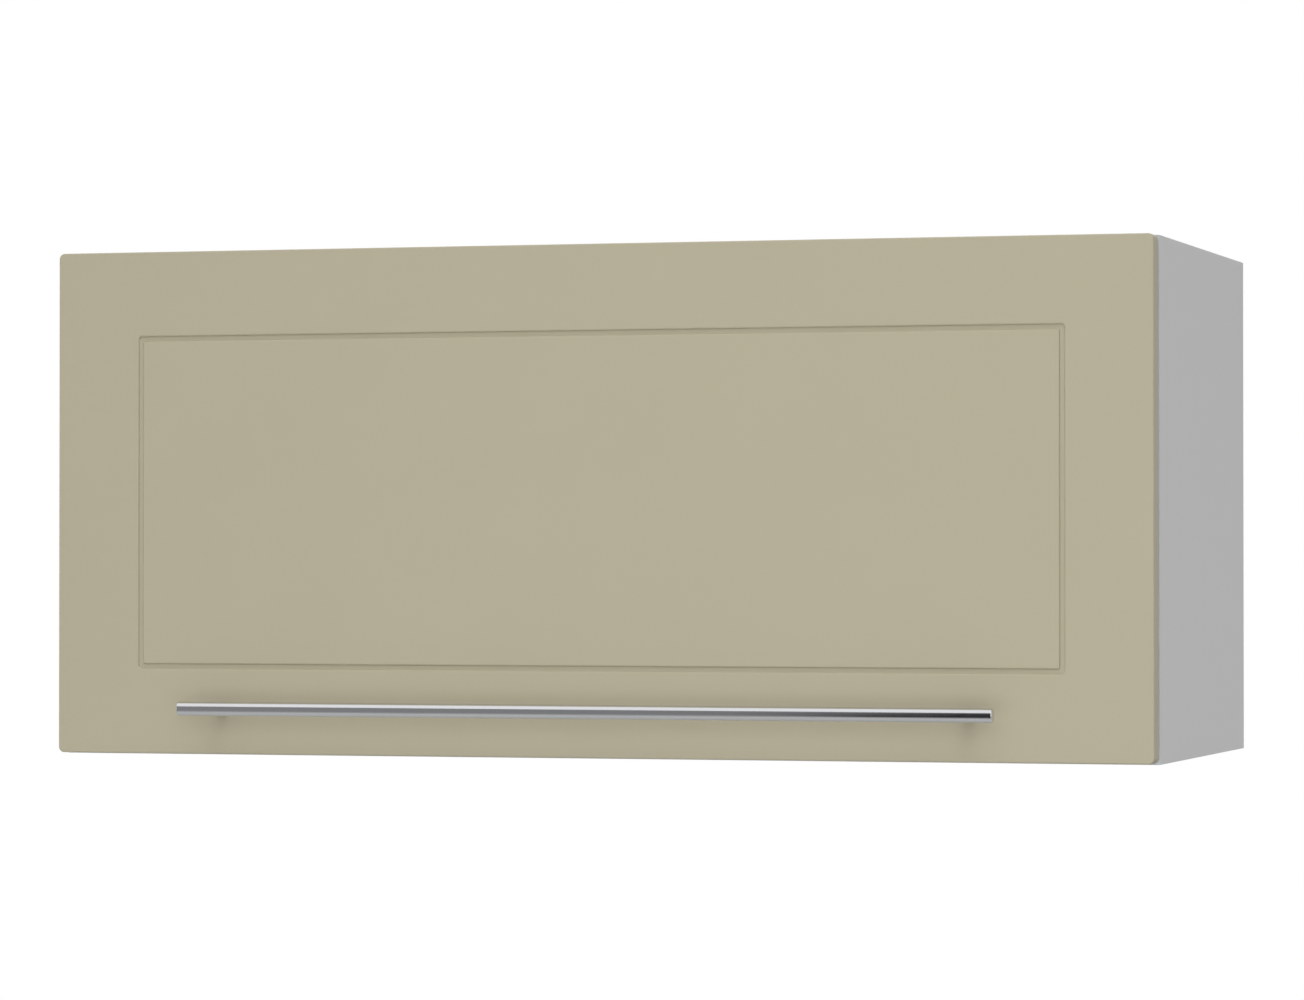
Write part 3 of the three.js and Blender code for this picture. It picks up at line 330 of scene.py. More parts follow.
def vary(tree, shader, tint, gloss=None, relief=None):
    """Lets patterns vary the colour of a surface, its roughness and its height.

    tint and gloss are a pattern with what it gives where it is low and where it is high.
    relief is a pattern with its strength and depth.
    """
    for socket, given, kind, inputs, output, settings in (
        ("Base Color", tint, "ShaderNodeMix", (0, 6, 7), 2, {"data_type": "RGBA"}),
        ("Roughness", gloss, "ShaderNodeMapRange", ("Value", "To Min", "To Max"), 0, {}),
        ("Normal", relief, "ShaderNodeBump", ("Height", "Strength", "Distance"), 0, {}),
    ):
        if given:
            node = add_node(tree, kind, dict(zip(inputs, given)), **settings)
            tree.links.new(node.outputs[output], shader.inputs[socket])


def matt_foil(colour):
    """Matt PVC foil, pressed over fibreboard by vacuum."""
    # The fine pressed grain breaks every reflection into one soft, even sheen.
    material, tree, shader, place = start_material(
        "matt PVC foil, vacuum formed", {"Roughness": 0.55, "IOR": 1.48}
    )
    # The real grain is 0.2 mm. It is drawn at 0.9 mm, the finest that a render shows.
    grain = add_node(
        tree, "ShaderNodeTexNoise", {"Vector": place, "Scale": 1 / (0.9 * MM), "Detail": 2.0}
    )
    tone = add_node(
        tree, "ShaderNodeTexNoise", {"Vector": place, "Scale": 1 / (90 * MM), "Detail": 1.0}
    )
    speck = add_node(tree, "ShaderNodeMath", {0: grain, 1: tone}, operation="ADD")
    amount = add_node(
        tree, "ShaderNodeMapRange", {"Value": speck, "From Min": 0.7, "From Max": 1.3}
    )
    tint = (amount, opaque(colour, 0.99), opaque(colour, 1.01))
    vary(tree, shader, tint, relief=(grain, 0.12, 0.03 * MM))
    return material


def board_facing(colour, edging_colour, edging):
    """Melamine paper pressed on chipboard, with an edge band glued on the front."""
    # A fine pearl texture gives the flat faces a dull satin glint, and the band is smoother.
    material, tree, shader, place = start_material("white melamine, pearl pressed", {"IOR": 1.5})
    # The real pearl is 0.4 mm. It is drawn at 1.1 mm so that it shows.
    pearl = add_node(
        tree, "ShaderNodeTexVoronoi", {"Vector": place, "Scale": 1 / (1.1 * MM)}, feature="F1"
    )
    depth = add_node(tree, "ShaderNodeSeparateXYZ", {"Vector": place}).outputs["Y"]
    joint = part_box("bottom_panel")[0].y + edging
    band = add_node(tree, "ShaderNodeMath", {0: depth, 1: joint}, operation="LESS_THAN")
    # The glue line is 0.1 mm wide and drawn at 0.24 mm.
    glue = add_node(
        tree, "ShaderNodeMath", {0: depth, 1: joint, 2: 0.12 * MM}, operation="COMPARE"
    )
    facing = add_node(
        tree,
        "ShaderNodeMix",
        {0: pearl, 6: opaque(colour, 1.005), 7: opaque(colour, 0.985)},
        data_type="RGBA",
    ).outputs[2]
    banded = add_node(
        tree, "ShaderNodeMix", {0: band, 6: facing, 7: opaque(edging_colour)}, data_type="RGBA"
    ).outputs[2]
    tint = (glue, banded, opaque(colour, 0.82))
    vary(tree, shader, tint, (band, 0.42, 0.3), (pearl, 0.15, 0.03 * MM))
    return material


def bare_chipboard(colour):
    """Chipboard, sawn through its pressed wood chips."""
    # Pale and dark chips lie flat along the board, dull and slightly pitted.
    material, tree, shader, place = start_material("chipboard, sawn", {"Roughness": 0.9})
    laid = add_node(tree, "ShaderNodeMapping", {"Vector": place, "Scale": (1.0, 1.0, 0.35)})
    chips = add_node(tree, "ShaderNodeTexVoronoi", {"Vector": laid, "Scale": 1 / (1.6 * MM)})
    dust = add_node(
        tree, "ShaderNodeTexNoise", {"Vector": place, "Scale": 1 / (0.8 * MM), "Detail": 3.0}
    )
    pick = add_node(tree, "ShaderNodeSeparateColor", {"Color": chips.outputs["Color"]})
    chip_colour = add_node(
        tree,
        "ShaderNodeMix",
        {0: pick, 6: opaque(colour, 0.62), 7: opaque(colour, 1.35)},
        data_type="RGBA",
    ).outputs[2]
    tint = (dust, chip_colour, opaque(colour))
    vary(tree, shader, tint, relief=(chips, 0.5, 0.3 * MM))
    return material


def lacquered_hardboard(colour):
    """White lacquer rolled on hardboard."""
    # The roller leaves faint upright streaks that only show in the sheen.
    material, tree, shader, place = start_material("white lacquered hardboard, rolled", {})
    rolled = add_node(tree, "ShaderNodeMapping", {"Vector": place, "Scale": (1.0, 1.0, 0.04)})
    streaks = add_node(tree, "ShaderNodeTexNoise", {"Vector": rolled, "Scale": 1 / (1.5 * MM)})
    tint = (streaks, opaque(colour, 0.98), opaque(colour, 1.01))
    vary(tree, shader, tint, (streaks, 0.42, 0.58))
    return material


def bare_fibreboard(name, colour, screen):
    """Pressed wood fibre. screen is the spacing of the press screen's print, or 0."""
    # Fibres give a felted brown with no direction, and the screen prints fine rows of dimples.
    material, tree, shader, place = start_material(name, {"Roughness": 0.85})
    fibres = add_node(
        tree,
        "ShaderNodeTexNoise",
        {"Vector": place, "Scale": 1 / (3 * MM), "Detail": 6.0, "Roughness": 0.7},
    )
    height = fibres
    if screen:
        # One turn of a sine for each dimple.
        rows = [
            add_node(
                tree,
                "ShaderNodeTexWave",
                {"Vector": place, "Scale": math.pi / (10 * screen)},
                bands_direction=direction,
                wave_profile="SIN",
            ).outputs["Fac"]
            for direction in ("X", "Z")
        ]
        height = add_node(
            tree, "ShaderNodeMath", {0: rows[0], 1: rows[1]}, operation="MULTIPLY"
        )
    tint = (fibres, opaque(colour, 0.6), opaque(colour, 1.4))
    vary(tree, shader, tint, relief=(height, 0.5, 0.15 * MM))
    return material


def polished_chrome(colour):
    """Chromium plating on a polished steel bar."""
    # Nearly a mirror: the lamp, the dark room and the floor lie on the bar as long bands.
    material, tree, shader, place = start_material("chromed steel, polished", {"Metallic": 1.0})
    # Polishing marks run along the bar, 0.2 mm apart. They are drawn at 0.6 mm, 20 mm long.
    drawn = add_node(tree, "ShaderNodeMapping", {"Vector": place, "Scale": (0.03, 1.0, 1.0)})
    marks = add_node(tree, "ShaderNodeTexNoise", {"Vector": drawn, "Scale": 1 / (0.6 * MM)})
    tint = (marks, opaque(colour, 0.98), opaque(colour, 1.02))
    vary(tree, shader, tint, (marks, 0.1, 0.2))
    return material


def barrel_nickel(name, colour, rough):
    """Nickel or zinc plated in a barrel, on pressed or turned steel."""
    # Tumbling leaves a warm, even satin with faint cloudy patches.
    material, tree, shader, place = start_material(name, {"Metallic": 1.0})
    cloud = add_node(
        tree, "ShaderNodeTexNoise", {"Vector": place, "Scale": 1 / (8 * MM), "Detail": 4.0}
    )
    # The dents of tumbling are 0.1 mm, drawn at 0.5 mm.
    dents = add_node(
        tree, "ShaderNodeTexNoise", {"Vector": place, "Scale": 1 / (0.5 * MM), "Detail": 1.0}
    )
    tint = (cloud, opaque(colour, 0.9), opaque(colour, 1.06))
    gloss = (cloud, rough * 0.8, rough * 1.2)
    vary(tree, shader, tint, gloss, (dents, 0.08, 0.02 * MM))
    return material


def cast_zinc(colour):
    """Zinc die-casting, as it leaves the mould."""
    # The cold skin of the metal is a dull blue-grey with a sandy grain.
    material, tree, shader, place = start_material("zinc, die-cast", {"Metallic": 1.0})
    # The real grain is 0.2 mm, drawn at 0.7 mm.
    skin = add_node(
        tree, "ShaderNodeTexNoise", {"Vector": place, "Scale": 1 / (0.7 * MM), "Detail": 3.0}
    )
    flow = add_node(
        tree, "ShaderNodeTexNoise", {"Vector": place, "Scale": 1 / (14 * MM), "Detail": 2.0}
    )
    tint = (flow, opaque(colour, 0.85), opaque(colour, 1.08))
    vary(tree, shader, tint, (skin, 0.38, 0.55), (skin, 0.25, 0.05 * MM))
    return material


def moulded_plastic(name, colour, rough):
    """Plastic that carries the fine grain of the tool that formed it."""
    # The grain is matt and scatters the light.
    material, tree, shader, place = start_material(name, {"IOR": 1.53})
    # The real grain is 0.15 mm, drawn at 0.5 mm.
    grain = add_node(
        tree, "ShaderNodeTexNoise", {"Vector": place, "Scale": 1 / (0.5 * MM), "Detail": 2.0}
    )
    tint = (grain, opaque(colour, 0.96), opaque(colour, 1.03))
    gloss = (grain, rough * 0.85, rough * 1.15)
    vary(tree, shader, tint, gloss, (grain, 0.2, 0.04 * MM))
    return material


def turned_beech(colour):
    """Beech, turned and fluted."""
    # Straight grain along the pin, with the short dark rays that beech shows.
    material, tree, shader, place = start_material("beech, turned", {"Roughness": 0.7})
    drawn = add_node(tree, "ShaderNodeMapping", {"Vector": place, "Scale": (0.08, 1.0, 1.0)})
    grain = add_node(
        tree, "ShaderNodeTexNoise", {"Vector": drawn, "Scale": 1 / (1.2 * MM), "Detail": 5.0}
    )
    tint = (grain, opaque(colour, 0.65), opaque(colour, 1.25))
    vary(tree, shader, tint, relief=(grain, 0.3, 0.1 * MM))
    return material


def clear_polyurethane(colour):
    """Clear polyurethane, poured as a drop."""
    # Clear and slightly milky, with a soft bright spot on the dome.
    material, tree, shader, place = start_material(
        "clear polyurethane, poured", {"IOR": 1.49, "Roughness": 0.2, "Transmission Weight": 0.7}
    )
    milk = add_node(
        tree, "ShaderNodeTexNoise", {"Vector": place, "Scale": 1 / (2 * MM), "Detail": 2.0}
    )
    vary(tree, shader, (milk, opaque(colour, 0.93), opaque(colour, 1.04)))
    return material


def shared(name, make):
    """A material that several pieces share, made once."""
    return bpy.data.materials.get(name) or make()


def nickel(settings):
    """The plating of the pressed hinge, stay and hanger parts."""
    name = "nickel-plated steel, pressed"
    return shared(name, lambda: barrel_nickel(name, settings.nickel_colour, 0.3))


def screw_zinc(settings):
    """The plating of every screw."""
    name = "zinc-plated steel, cold headed"
    return shared(name, lambda: barrel_nickel(name, settings.zinc_colour, 0.26))


def die_cast(settings):
    """The metal of the cams and the stays' spring units."""
    return shared("zinc, die-cast", lambda: cast_zinc(settings.zinc_colour))


def grey_abs(settings):
    """The plastic of the stays' covers and the hangers' housings."""
    name = "grey ABS, moulded"
    return shared(name, lambda: moulded_plastic(name, settings.plastic_colour, 0.5))


# ---------------------------------------------------------------- mesh work

# Points nearer than WELD become one, and faces that meet flatter than FLAT become one. Edges
# sharper than SHARP are rounded or stay sharp, and the others are smooth.
WELD = 0.001 * MM
FLAT = math.radians(0.5)
SHARP = math.radians(35)
# How far a cutter reaches past what it cuts.
OVERSHOOT = 1 * MM


def middle(low, high):
    """The middle of a box."""
    return (low + high) / 2


def inner_face(low, high):
    """From the cabinet's middle to the inner side of a box that stands left or right of it."""
    return min(abs(low.x), abs(high.x))


def toward(direction):
    """Turns +Z to a direction."""
    return Vector(direction).to_track_quat("Z", "Y").to_matrix().to_4x4()


def new_mesh(name, vertices, faces, materials, groups=None):
    """A smooth-shaded mesh. groups gives each face the number of its material."""
    mesh = bpy.data.meshes.new(name)
    mesh.from_pydata([tuple(v) for v in vertices], [], faces)
    for material in materials:
        mesh.materials.append(material)
    if groups:
        mesh.polygons.foreach_set("material_index", groups)
    mesh.polygons.foreach_set("use_smooth", [True] * len(mesh.polygons))
    mesh.update()
    return mesh


def add_piece(name, mesh, body, slot, *nodes, placed=None):
    """Puts a mesh in the scene, on a body, in place of the CAD nodes that it stands for."""
    piece = bpy.data.objects.new(name, mesh)
    bpy.context.scene.collection.objects.link(piece)
    if placed:
        piece.matrix_world = placed
    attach(piece, body)
    if nodes:
        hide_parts(*nodes)
    return piece


def round_edges(piece, width, segments=2):
    """Rounds a piece's sharp edges and keeps its flat faces flat."""
    bevel = piece.modifiers.new("rounded edges", "BEVEL")
    bevel.width = width
    bevel.segments = segments
    bevel.limit_method = "ANGLE"
    bevel.angle_limit = SHARP
    bevel.use_clamp_overlap = True
    bevel.loop_slide = False
    normals = piece.modifiers.new("flat faces", "WEIGHTED_NORMAL")
    normals.weight = 50


def carve(mesh, *cutters):
    """Cuts closed meshes out of a mesh and returns what is left."""
    block = bpy.data.objects.new("block", mesh)
    tools = [bpy.data.objects.new("cutter", cutter) for cutter in cutters]
    for thing in (block, *tools):
        bpy.context.scene.collection.objects.link(thing)
    for tool in tools:
        cut = block.modifiers.new("cut", "BOOLEAN")
        cut.operation = "DIFFERENCE"
        cut.solver = "EXACT"
        cut.object = tool
    seen = block.evaluated_get(bpy.context.evaluated_depsgraph_get())
    carved = bpy.data.meshes.new_from_object(seen)
    for thing in (block, *tools):
        bpy.data.objects.remove(thing)
    for cutter in cutters:
        bpy.data.meshes.remove(cutter)
    carved.name = mesh.name
    return carved


def refined(name, node, body, slot, materials, width, group_of=None):
    """A CAD node's shape with its facets welded and its sharp edges rounded."""
    source = frame["nodes"][node].data
    welded = bmesh.new()
    points = [welded.verts.new(v.co) for v in source.vertices]
    for polygon in source.polygons:
        welded.faces.new([points[i] for i in polygon.vertices])
    bmesh.ops.remove_doubles(welded, verts=welded.verts, dist=WELD)
    bmesh.ops.dissolve_limit(
        welded,
        angle_limit=FLAT,
        use_dissolve_boundaries=False,
        verts=welded.verts,
        edges=welded.edges,
        delimit=set(),
    )
    welded.verts.index_update()
    vertices = [v.co.copy() for v in welded.verts]
    faces = [[v.index for v in f.verts] for f in welded.faces]
    groups = group_of and [group_of(f.calc_center_median(), f.normal) for f in welded.faces]
    welded.free()
    mesh = new_mesh(name, vertices, faces, materials, groups)
    round_edges(add_piece(name, mesh, body, slot, node), width)


def dress(node, material):
    """Gives a CAD node that keeps its shape a finished material."""
    for slot in frame["nodes"][node].material_slots:
        slot.link = "OBJECT"
        slot.material = material


def turned(name, profile, materials, sides, turn=None):
    """A closed turned mesh. Its profile of (radius, height) runs from axis to axis up +Z."""
    turn = turn or Matrix.Identity(4)
    vertices = []
    rings = []
    for radius, height in profile:
        corners = sides if radius else 1
        rings.append(range(len(vertices), len(vertices) + corners))
        for i in range(corners):
            angle = 2 * math.pi * i / sides
            vertices.append(
                turn @ Vector((radius * math.cos(angle), radius * math.sin(angle), height))
            )
    faces = []
    for low, high in zip(rings, rings[1:]):
        for i in range(sides):
            a = low[i % len(low)]
            b = low[(i + 1) % len(low)]
            c = high[(i + 1) % len(high)]
            d = high[i % len(high)]
            faces.append(list(dict.fromkeys((a, b, c, d))))
    return new_mesh(name, vertices, faces, materials)


def domed(radius, height, steps=6, shoulder=0.35):
    """The profile of a low dome with an upright shoulder, closed at its foot."""
    rise = height * (1 - shoulder)
    profile = [(0, 0), (radius, 0), (radius, height * shoulder)]
    for step in range(1, steps):
        angle = step / steps * math.pi / 2
        profile.append((radius * math.cos(angle), height * shoulder + rise * math.sin(angle)))
    profile.append((0, height))
    return profile


def round_cornered(centre, half, radius, steps):
    """Points round a rectangle with round corners, in its own two directions."""
    points = []
    for quarter, signs in enumerate(QUARTERS):
        for step in range(steps + 1):
            angle = (quarter + step / steps) * math.pi / 2
            bend = (math.cos(angle), math.sin(angle))
            points.append(
                [c + s * (h - radius) + radius * b for c, s, h, b in zip(centre, signs, half, bend)]
            )
    return points


def raised_panel(name, centre, size, corner, rise, materials, steps=6):
    """A low panel with round corners. It stands out from centre along X by rise."""
    outline = round_cornered((0, 0), (size[0] / 2, size[1] / 2), corner, steps)
    count = len(outline)
    foot = [centre + Vector((0, y, z)) for y, z in outline]
    vertices = foot + [v + Vector((rise, 0, 0)) for v in foot]
    faces = [[i, (i + 1) % count, (i + 1) % count + count, i + count] for i in range(count)]
    faces += [list(reversed(range(count))), list(range(count, 2 * count))]
    if rise < 0:
        faces = [list(reversed(face)) for face in faces]
    return new_mesh(name, vertices, faces, materials)


def block_mesh(low, high, turn=None):
    """A plain closed box for cutting."""
    turn = turn or Matrix.Identity(4)
    corners = [
        turn @ Vector((x, y, z))
        for z in (low[2], high[2])
        for y in (low[1], high[1])
        for x in (low[0], high[0])
    ]
    faces = [(0, 2, 3, 1), (4, 5, 7, 6), (0, 1, 5, 4), (1, 3, 7, 5), (3, 2, 6, 7), (2, 0, 4, 6)]
    return new_mesh("cutter", corners, faces, [])


def cross_head(name, settings, shank=None):
    """A screw's domed head with a cross recess, standing on z = 0. shank is its two sizes."""
    diameter, height = SCREW_HEADS[name]
    radius = diameter / 2
    profile = domed(radius, height)
    if shank:
        width, length = shank
        profile = [(0, -length), (width / 2, -length), (width / 2, 0)] + profile[1:]
    head = turned(name, profile, [screw_zinc(settings)], settings.turned_sides)
    # The recess's two wings, in shares of the head.
    long = 0.56 * radius
    thin = 0.13 * radius
    floor = height - 0.55 * height
    above = height + OVERSHOOT
    wings = [block_mesh((-x, -y, floor), (x, y, above)) for x, y in ((long, thin), (thin, long))]
    carved = carve(head, *wings)
    carved.polygons.foreach_set("use_smooth", [True] * len(carved.polygons))
    carved.set_sharp_from_angle(angle=SHARP)
    return carved


def set_screw(name, mesh, seat, direction, body, *nodes):
    """A copy of a screw's or rivet's mesh, standing on a surface."""
    placed = Matrix.Translation(seat) @ toward(direction)
    add_piece(name, mesh, body, "nickel_steel", *nodes, placed=placed)


# ---------------------------------------------------------------- stage


class LIFT_CABINET_OT_stage(bpy.types.Operator):
    """Adds the camera, the pale floor, the lamps and the white surroundings"""

    bl_idname = "lift_cabinet.stage"
    bl_label = "Stage"

    # The lamps' places and sizes. All aim at the middle of the closed door.
    AIM = Vector((0, -0.33, -0.17))
    LAMPS = (
        ("front lamp", (0.9, -4.3, 0.7), (2.4, 1.8), "front_lamp"),
        ("high lamp", (0.6, -2.0, 2.3), (1.6, 1.6), "high_lamp"),
        ("low lamp", (0.3, -2.4, -0.8), (2.2, 0.9), "low_lamp"),
    )
    FLOOR_SIDES = 128
    FLOOR_RADIUS = 3.5
    FLOOR_THICKNESS = 10 * MM
    FLOOR_MIDDLE_Y = -0.16
    # Light that only the camera sees. It makes the floor white and keeps the shadow on it.
    FLOOR_LIFT = 0.7
    # The dark room: its left and right end, its near and far end, and its height.
    ROOM_X = (-3.4, 3.6)
    ROOM_NEAR, ROOM_FAR, ROOM_TOP = -0.8, -4.2, 2.9
    # The border between its halves: how it slants, and from where to where it fades.
    BORDER_SLANT = -0.237
    BORDER_LEFT, BORDER_RIGHT = 0.17, 0.215
    # The near end is as light as the floor. From here on the room is fully dark.
    DARK_FROM = -1.5
    # The room's own floor lies this far above the pale one.
    ROOM_GAP = 5 * MM

    def execute(self, context):
        settings = context.scene.cabinet_stage
        scene = context.scene
        scene.view_settings.view_transform = "Standard"

        lens = bpy.data.cameras.new("camera")
        lens.lens = settings.lens
        lens.sensor_width = 36
        camera = bpy.data.objects.new("camera", lens)
        camera.location = settings.camera_place
        camera.rotation_euler = (math.pi / 2 + settings.camera_pitch, 0, settings.camera_yaw)
        scene.collection.objects.link(camera)
        scene.camera = camera

        self.surroundings(scene, settings)
        self.floor(scene, settings)
        self.lamps(scene, settings)
        self.cards(scene, settings)
        return {"FINISHED"}

    def surroundings(self, scene, settings):
        """Plain white for the camera and in reflections, and soft light for the rest."""
        world = bpy.data.worlds.new("white surroundings")
        scene.world = world
        world.use_nodes = True
        tree = world.node_tree
        tree.nodes.clear()
        ray = add_node(tree, "ShaderNodeLightPath").outputs
        seen = ray["Is Camera Ray"]
        for mirrored in ("Is Glossy Ray", "Is Transmission Ray"):
            seen = add_node(
                tree, "ShaderNodeMath", {0: seen, 1: ray[mirrored]}, operation="MAXIMUM"
            )
        # The even light grows towards the zenith and a little towards the viewer's side.
        direction = add_node(tree, "ShaderNodeTexCoord").outputs["Generated"]
        direction = add_node(tree, "ShaderNodeSeparateXYZ", {"Vector": direction}).outputs
        low = settings.ambient
        high = settings.ambient + settings.sky
        above = add_node(
            tree, "ShaderNodeMapRange", {"Value": direction["Z"], "To Min": low, "To Max": high}
        )
        before = add_node(
            tree,
            "ShaderNodeMapRange",
            {"Value": direction["Y"], "From Max": -1.0, "To Max": settings.fore},
        )
        level = add_node(tree, "ShaderNodeMath", {0: above, 1: before}, operation="ADD")
        light, white = [
            add_node(tree, "ShaderNodeBackground", {"Color": WHITE, "Strength": strength})
            for strength in (level, 1.0)
        ]
        mix = add_node(tree, "ShaderNodeMixShader", {0: seen, 1: light, 2: white})
        add_node(tree, "ShaderNodeOutputWorld", {"Surface": mix})

    def floor(self, scene, settings):
        """The pale floor, white for the camera apart from the cabinet's shadow."""
        material, tree, shader, place = start_material(
            "pale floor, matt paint", {"Roughness": 0.8, "Emission Color": WHITE}
        )
        cloud = add_node(tree, "ShaderNodeTexNoise", {"Vector": place, "Scale": 1 / (400 * MM)})
        paint = settings.floor_colour
        vary(tree, shader, (cloud, opaque(paint, 0.99), opaque(paint, 1.01)))
        ray = add_node(tree, "ShaderNodeLightPath").outputs["Is Camera Ray"]
        lift = add_node(
            tree, "ShaderNodeMath", {0: ray, 1: self.FLOOR_LIFT}, operation="MULTIPLY"
        )
        tree.links.new(lift.outputs[0], shader.inputs["Emission Strength"])
        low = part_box("bottom_panel")[0].z - settings.floor_drop
        radius, foot = self.FLOOR_RADIUS, -self.FLOOR_THICKNESS
        disc = turned(
            "floor",
            [(0, foot), (radius, foot), (radius, 0), (0, 0)],
            [material],
            self.FLOOR_SIDES,
            Matrix.Translation((0, self.FLOOR_MIDDLE_Y, low)),
        )
        floor = bpy.data.objects.new("floor", disc)
        scene.collection.objects.link(floor)

    def lamps(self, scene, settings):
        """Three soft lamps, which neither the camera nor a reflection sees."""
        for name, place, size, power in self.LAMPS:
            lamp = bpy.data.lights.new(name, "AREA")
            lamp.shape = "RECTANGLE"
            lamp.size, lamp.size_y = size
            lamp.energy = getattr(settings, power)
            light = bpy.data.objects.new(name, lamp)
            light.location = place
            aim = self.AIM - Vector(place)
            light.rotation_euler = aim.to_track_quat("-Z", "Y").to_euler()
            light.visible_glossy = False
            light.visible_camera = False
            scene.collection.objects.link(light)

    def cards(self, scene, settings):
        """The dark room behind the camera, which only reflections see."""
        material, tree, shader, place = start_material(
            "dark room", {"Base Color": BLACK, "Specular IOR Level": 0, "Emission Color": WHITE}
        )
        place = add_node(tree, "ShaderNodeSeparateXYZ", {"Vector": place}).outputs
        # The room is dim on the left and nearly black behind the camera. The border between
        # the two slants as the bar mirrors the camera's view, so it stays at one place there.
        across = add_node(
            tree,
            "ShaderNodeMath",
            {0: place["Y"], 1: self.BORDER_SLANT, 2: place["X"]},
            operation="MULTIPLY_ADD",
        )
        room = add_node(
            tree,
            "ShaderNodeMapRange",
            {
                "Value": across,
                "From Min": self.BORDER_LEFT,
                "From Max": self.BORDER_RIGHT,
                "To Min": settings.room_left,
                "To Max": settings.room_right,
            },
        )
        # The near end fades into the light floor.
        fade = add_node(
            tree,
            "ShaderNodeMapRange",
            {"Value": place["Y"], "From Min": self.DARK_FROM, "From Max": self.ROOM_NEAR},
        )
        level = add_node(tree, "ShaderNodeMix", {0: fade, 2: room, 3: settings.room_near})
        tree.links.new(level.outputs[0], shader.inputs["Emission Strength"])
        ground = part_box("bottom_panel")[0].z - settings.floor_drop + self.ROOM_GAP
        near, far = self.ROOM_NEAR, self.ROOM_FAR
        corners = [
            (x, y, z)
            for y, z in ((near, ground), (far, ground), (far, self.ROOM_TOP))
            for x in self.ROOM_X
        ]
        mesh = new_mesh("dark room", corners, [(0, 1, 3, 2), (2, 3, 5, 4)], [material])
        mesh.polygons.foreach_set("use_smooth", [False, False])
        card = bpy.data.objects.new("dark room", mesh)
        scene.collection.objects.link(card)
        for ray in ("camera", "diffuse", "shadow", "transmission"):
            setattr(card, "visible_" + ray, False)


# ---------------------------------------------------------------- carcass


class LIFT_CABINET_OT_carcass(bpy.types.Operator):
    """Finishes the four boards and the back panel"""

    bl_idname = "lift_cabinet.carcass"
    bl_label = "Carcass"

    NEAR = 0.02 * MM
    HARDBOARD_EDGE = 0.15 * MM
    # Spacing of the print on the hardboard's wall side.
    SCREEN = 2 * MM

    def execute(self, context):
        settings = context.scene.cabinet_carcass
        facing = board_facing(settings.board_colour, settings.edging_colour, settings.edging)
        faced = [facing, bare_chipboard(settings.chipboard_colour)]
        round_off = settings.edge_round
        for node in ("side_panel_left", "side_panel_right", "top_panel", "bottom_panel"):
            low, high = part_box(node)

            def cut_or_rear(centre, normal, low=low, high=high):
                """Chipboard shows on the rear edge and wherever a face lies inside the box."""
                rear = abs(centre.y - high.y) < self.NEAR
                outside = any(
                    abs(centre[i] - edge[i]) < self.NEAR for i in range(3) for edge in (low, high)
                )
                return 1 if rear or not outside else 0

            name = node + "_board"
            refined(name, node, "carcass", "white_melamine", faced, round_off, cut_or_rear)

        def wall_side(centre, normal):
            """The lacquered face looks forward."""
            return 0 if normal.y < -0.5 else 1

        white = lacquered_hardboard(settings.lacquer_colour)
        brown = bare_fibreboard("hardboard, screen pressed", settings.hardboard_colour, self.SCREEN)
        refined(
            "back_board",
            "back_panel",
            "carcass",
            "white_hardboard",
            [white, brown],
            self.HARDBOARD_EDGE,
            wall_side,
        )
        return {"FINISHED"}


class LIFT_CABINET_OT_corner_joints(bpy.types.Operator):
    """Finishes the cams, bolts and dowels, and adds the caps over the lower cams"""

    bl_idname = "lift_cabinet.corner_joints"
    bl_label = "Corner joints"

    # Radius and height from the rim's foot over the rim to the sunk middle, in millimetres.
    CAP = ((0, 0), (8.6, 0), (8.8, 0.35), (8.4, 0.8), (7.2, 1.0), (6.8, 0.85), (0, 0.85))
    # The cap lies this far above the cam.
    CAP_GAP = 0.05 * MM
    CAP_EDGE = 0.1 * MM

    def execute(self, context):
        settings = context.scene.cabinet_fittings
        zinc = die_cast(settings)
        beech = turned_beech(settings.beech_colour)
        white = moulded_plastic("white polyethylene, moulded", settings.cap_colour, 0.45)
        profile = [(radius * MM, height * MM) for radius, height in self.CAP]
        for level in ("top", "bottom"):
            for side, _ in SIDES:
                dress(f"wood_dowel_{level}_{side}", beech)
                for row in ("front", "rear"):
                    dress(f"cam_bolt_{level}_{side}_{row}", nickel(settings))
                    cam = f"cam_lock_{level}_{side}_{row}"
                    refined(cam + "_cast", cam, "carcass", "zinc", [zinc], settings.stamped_edge)
                    if level == "top":
                        continue
                    low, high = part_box(cam)
                    foot = middle(low, high)
                    foot.z = high.z + self.CAP_GAP
                    cap = turned(
                        f"cam_cap_{side}_{row}",
                        profile,
                        [white],
                        settings.turned_sides,
                        Matrix.Translation(foot),
                    )
                    piece = add_piece(cap.name, cap, "carcass", "white_melamine")
                    round_edges(piece, self.CAP_EDGE)
        return {"FINISHED"}


# ---------------------------------------------------------------- door


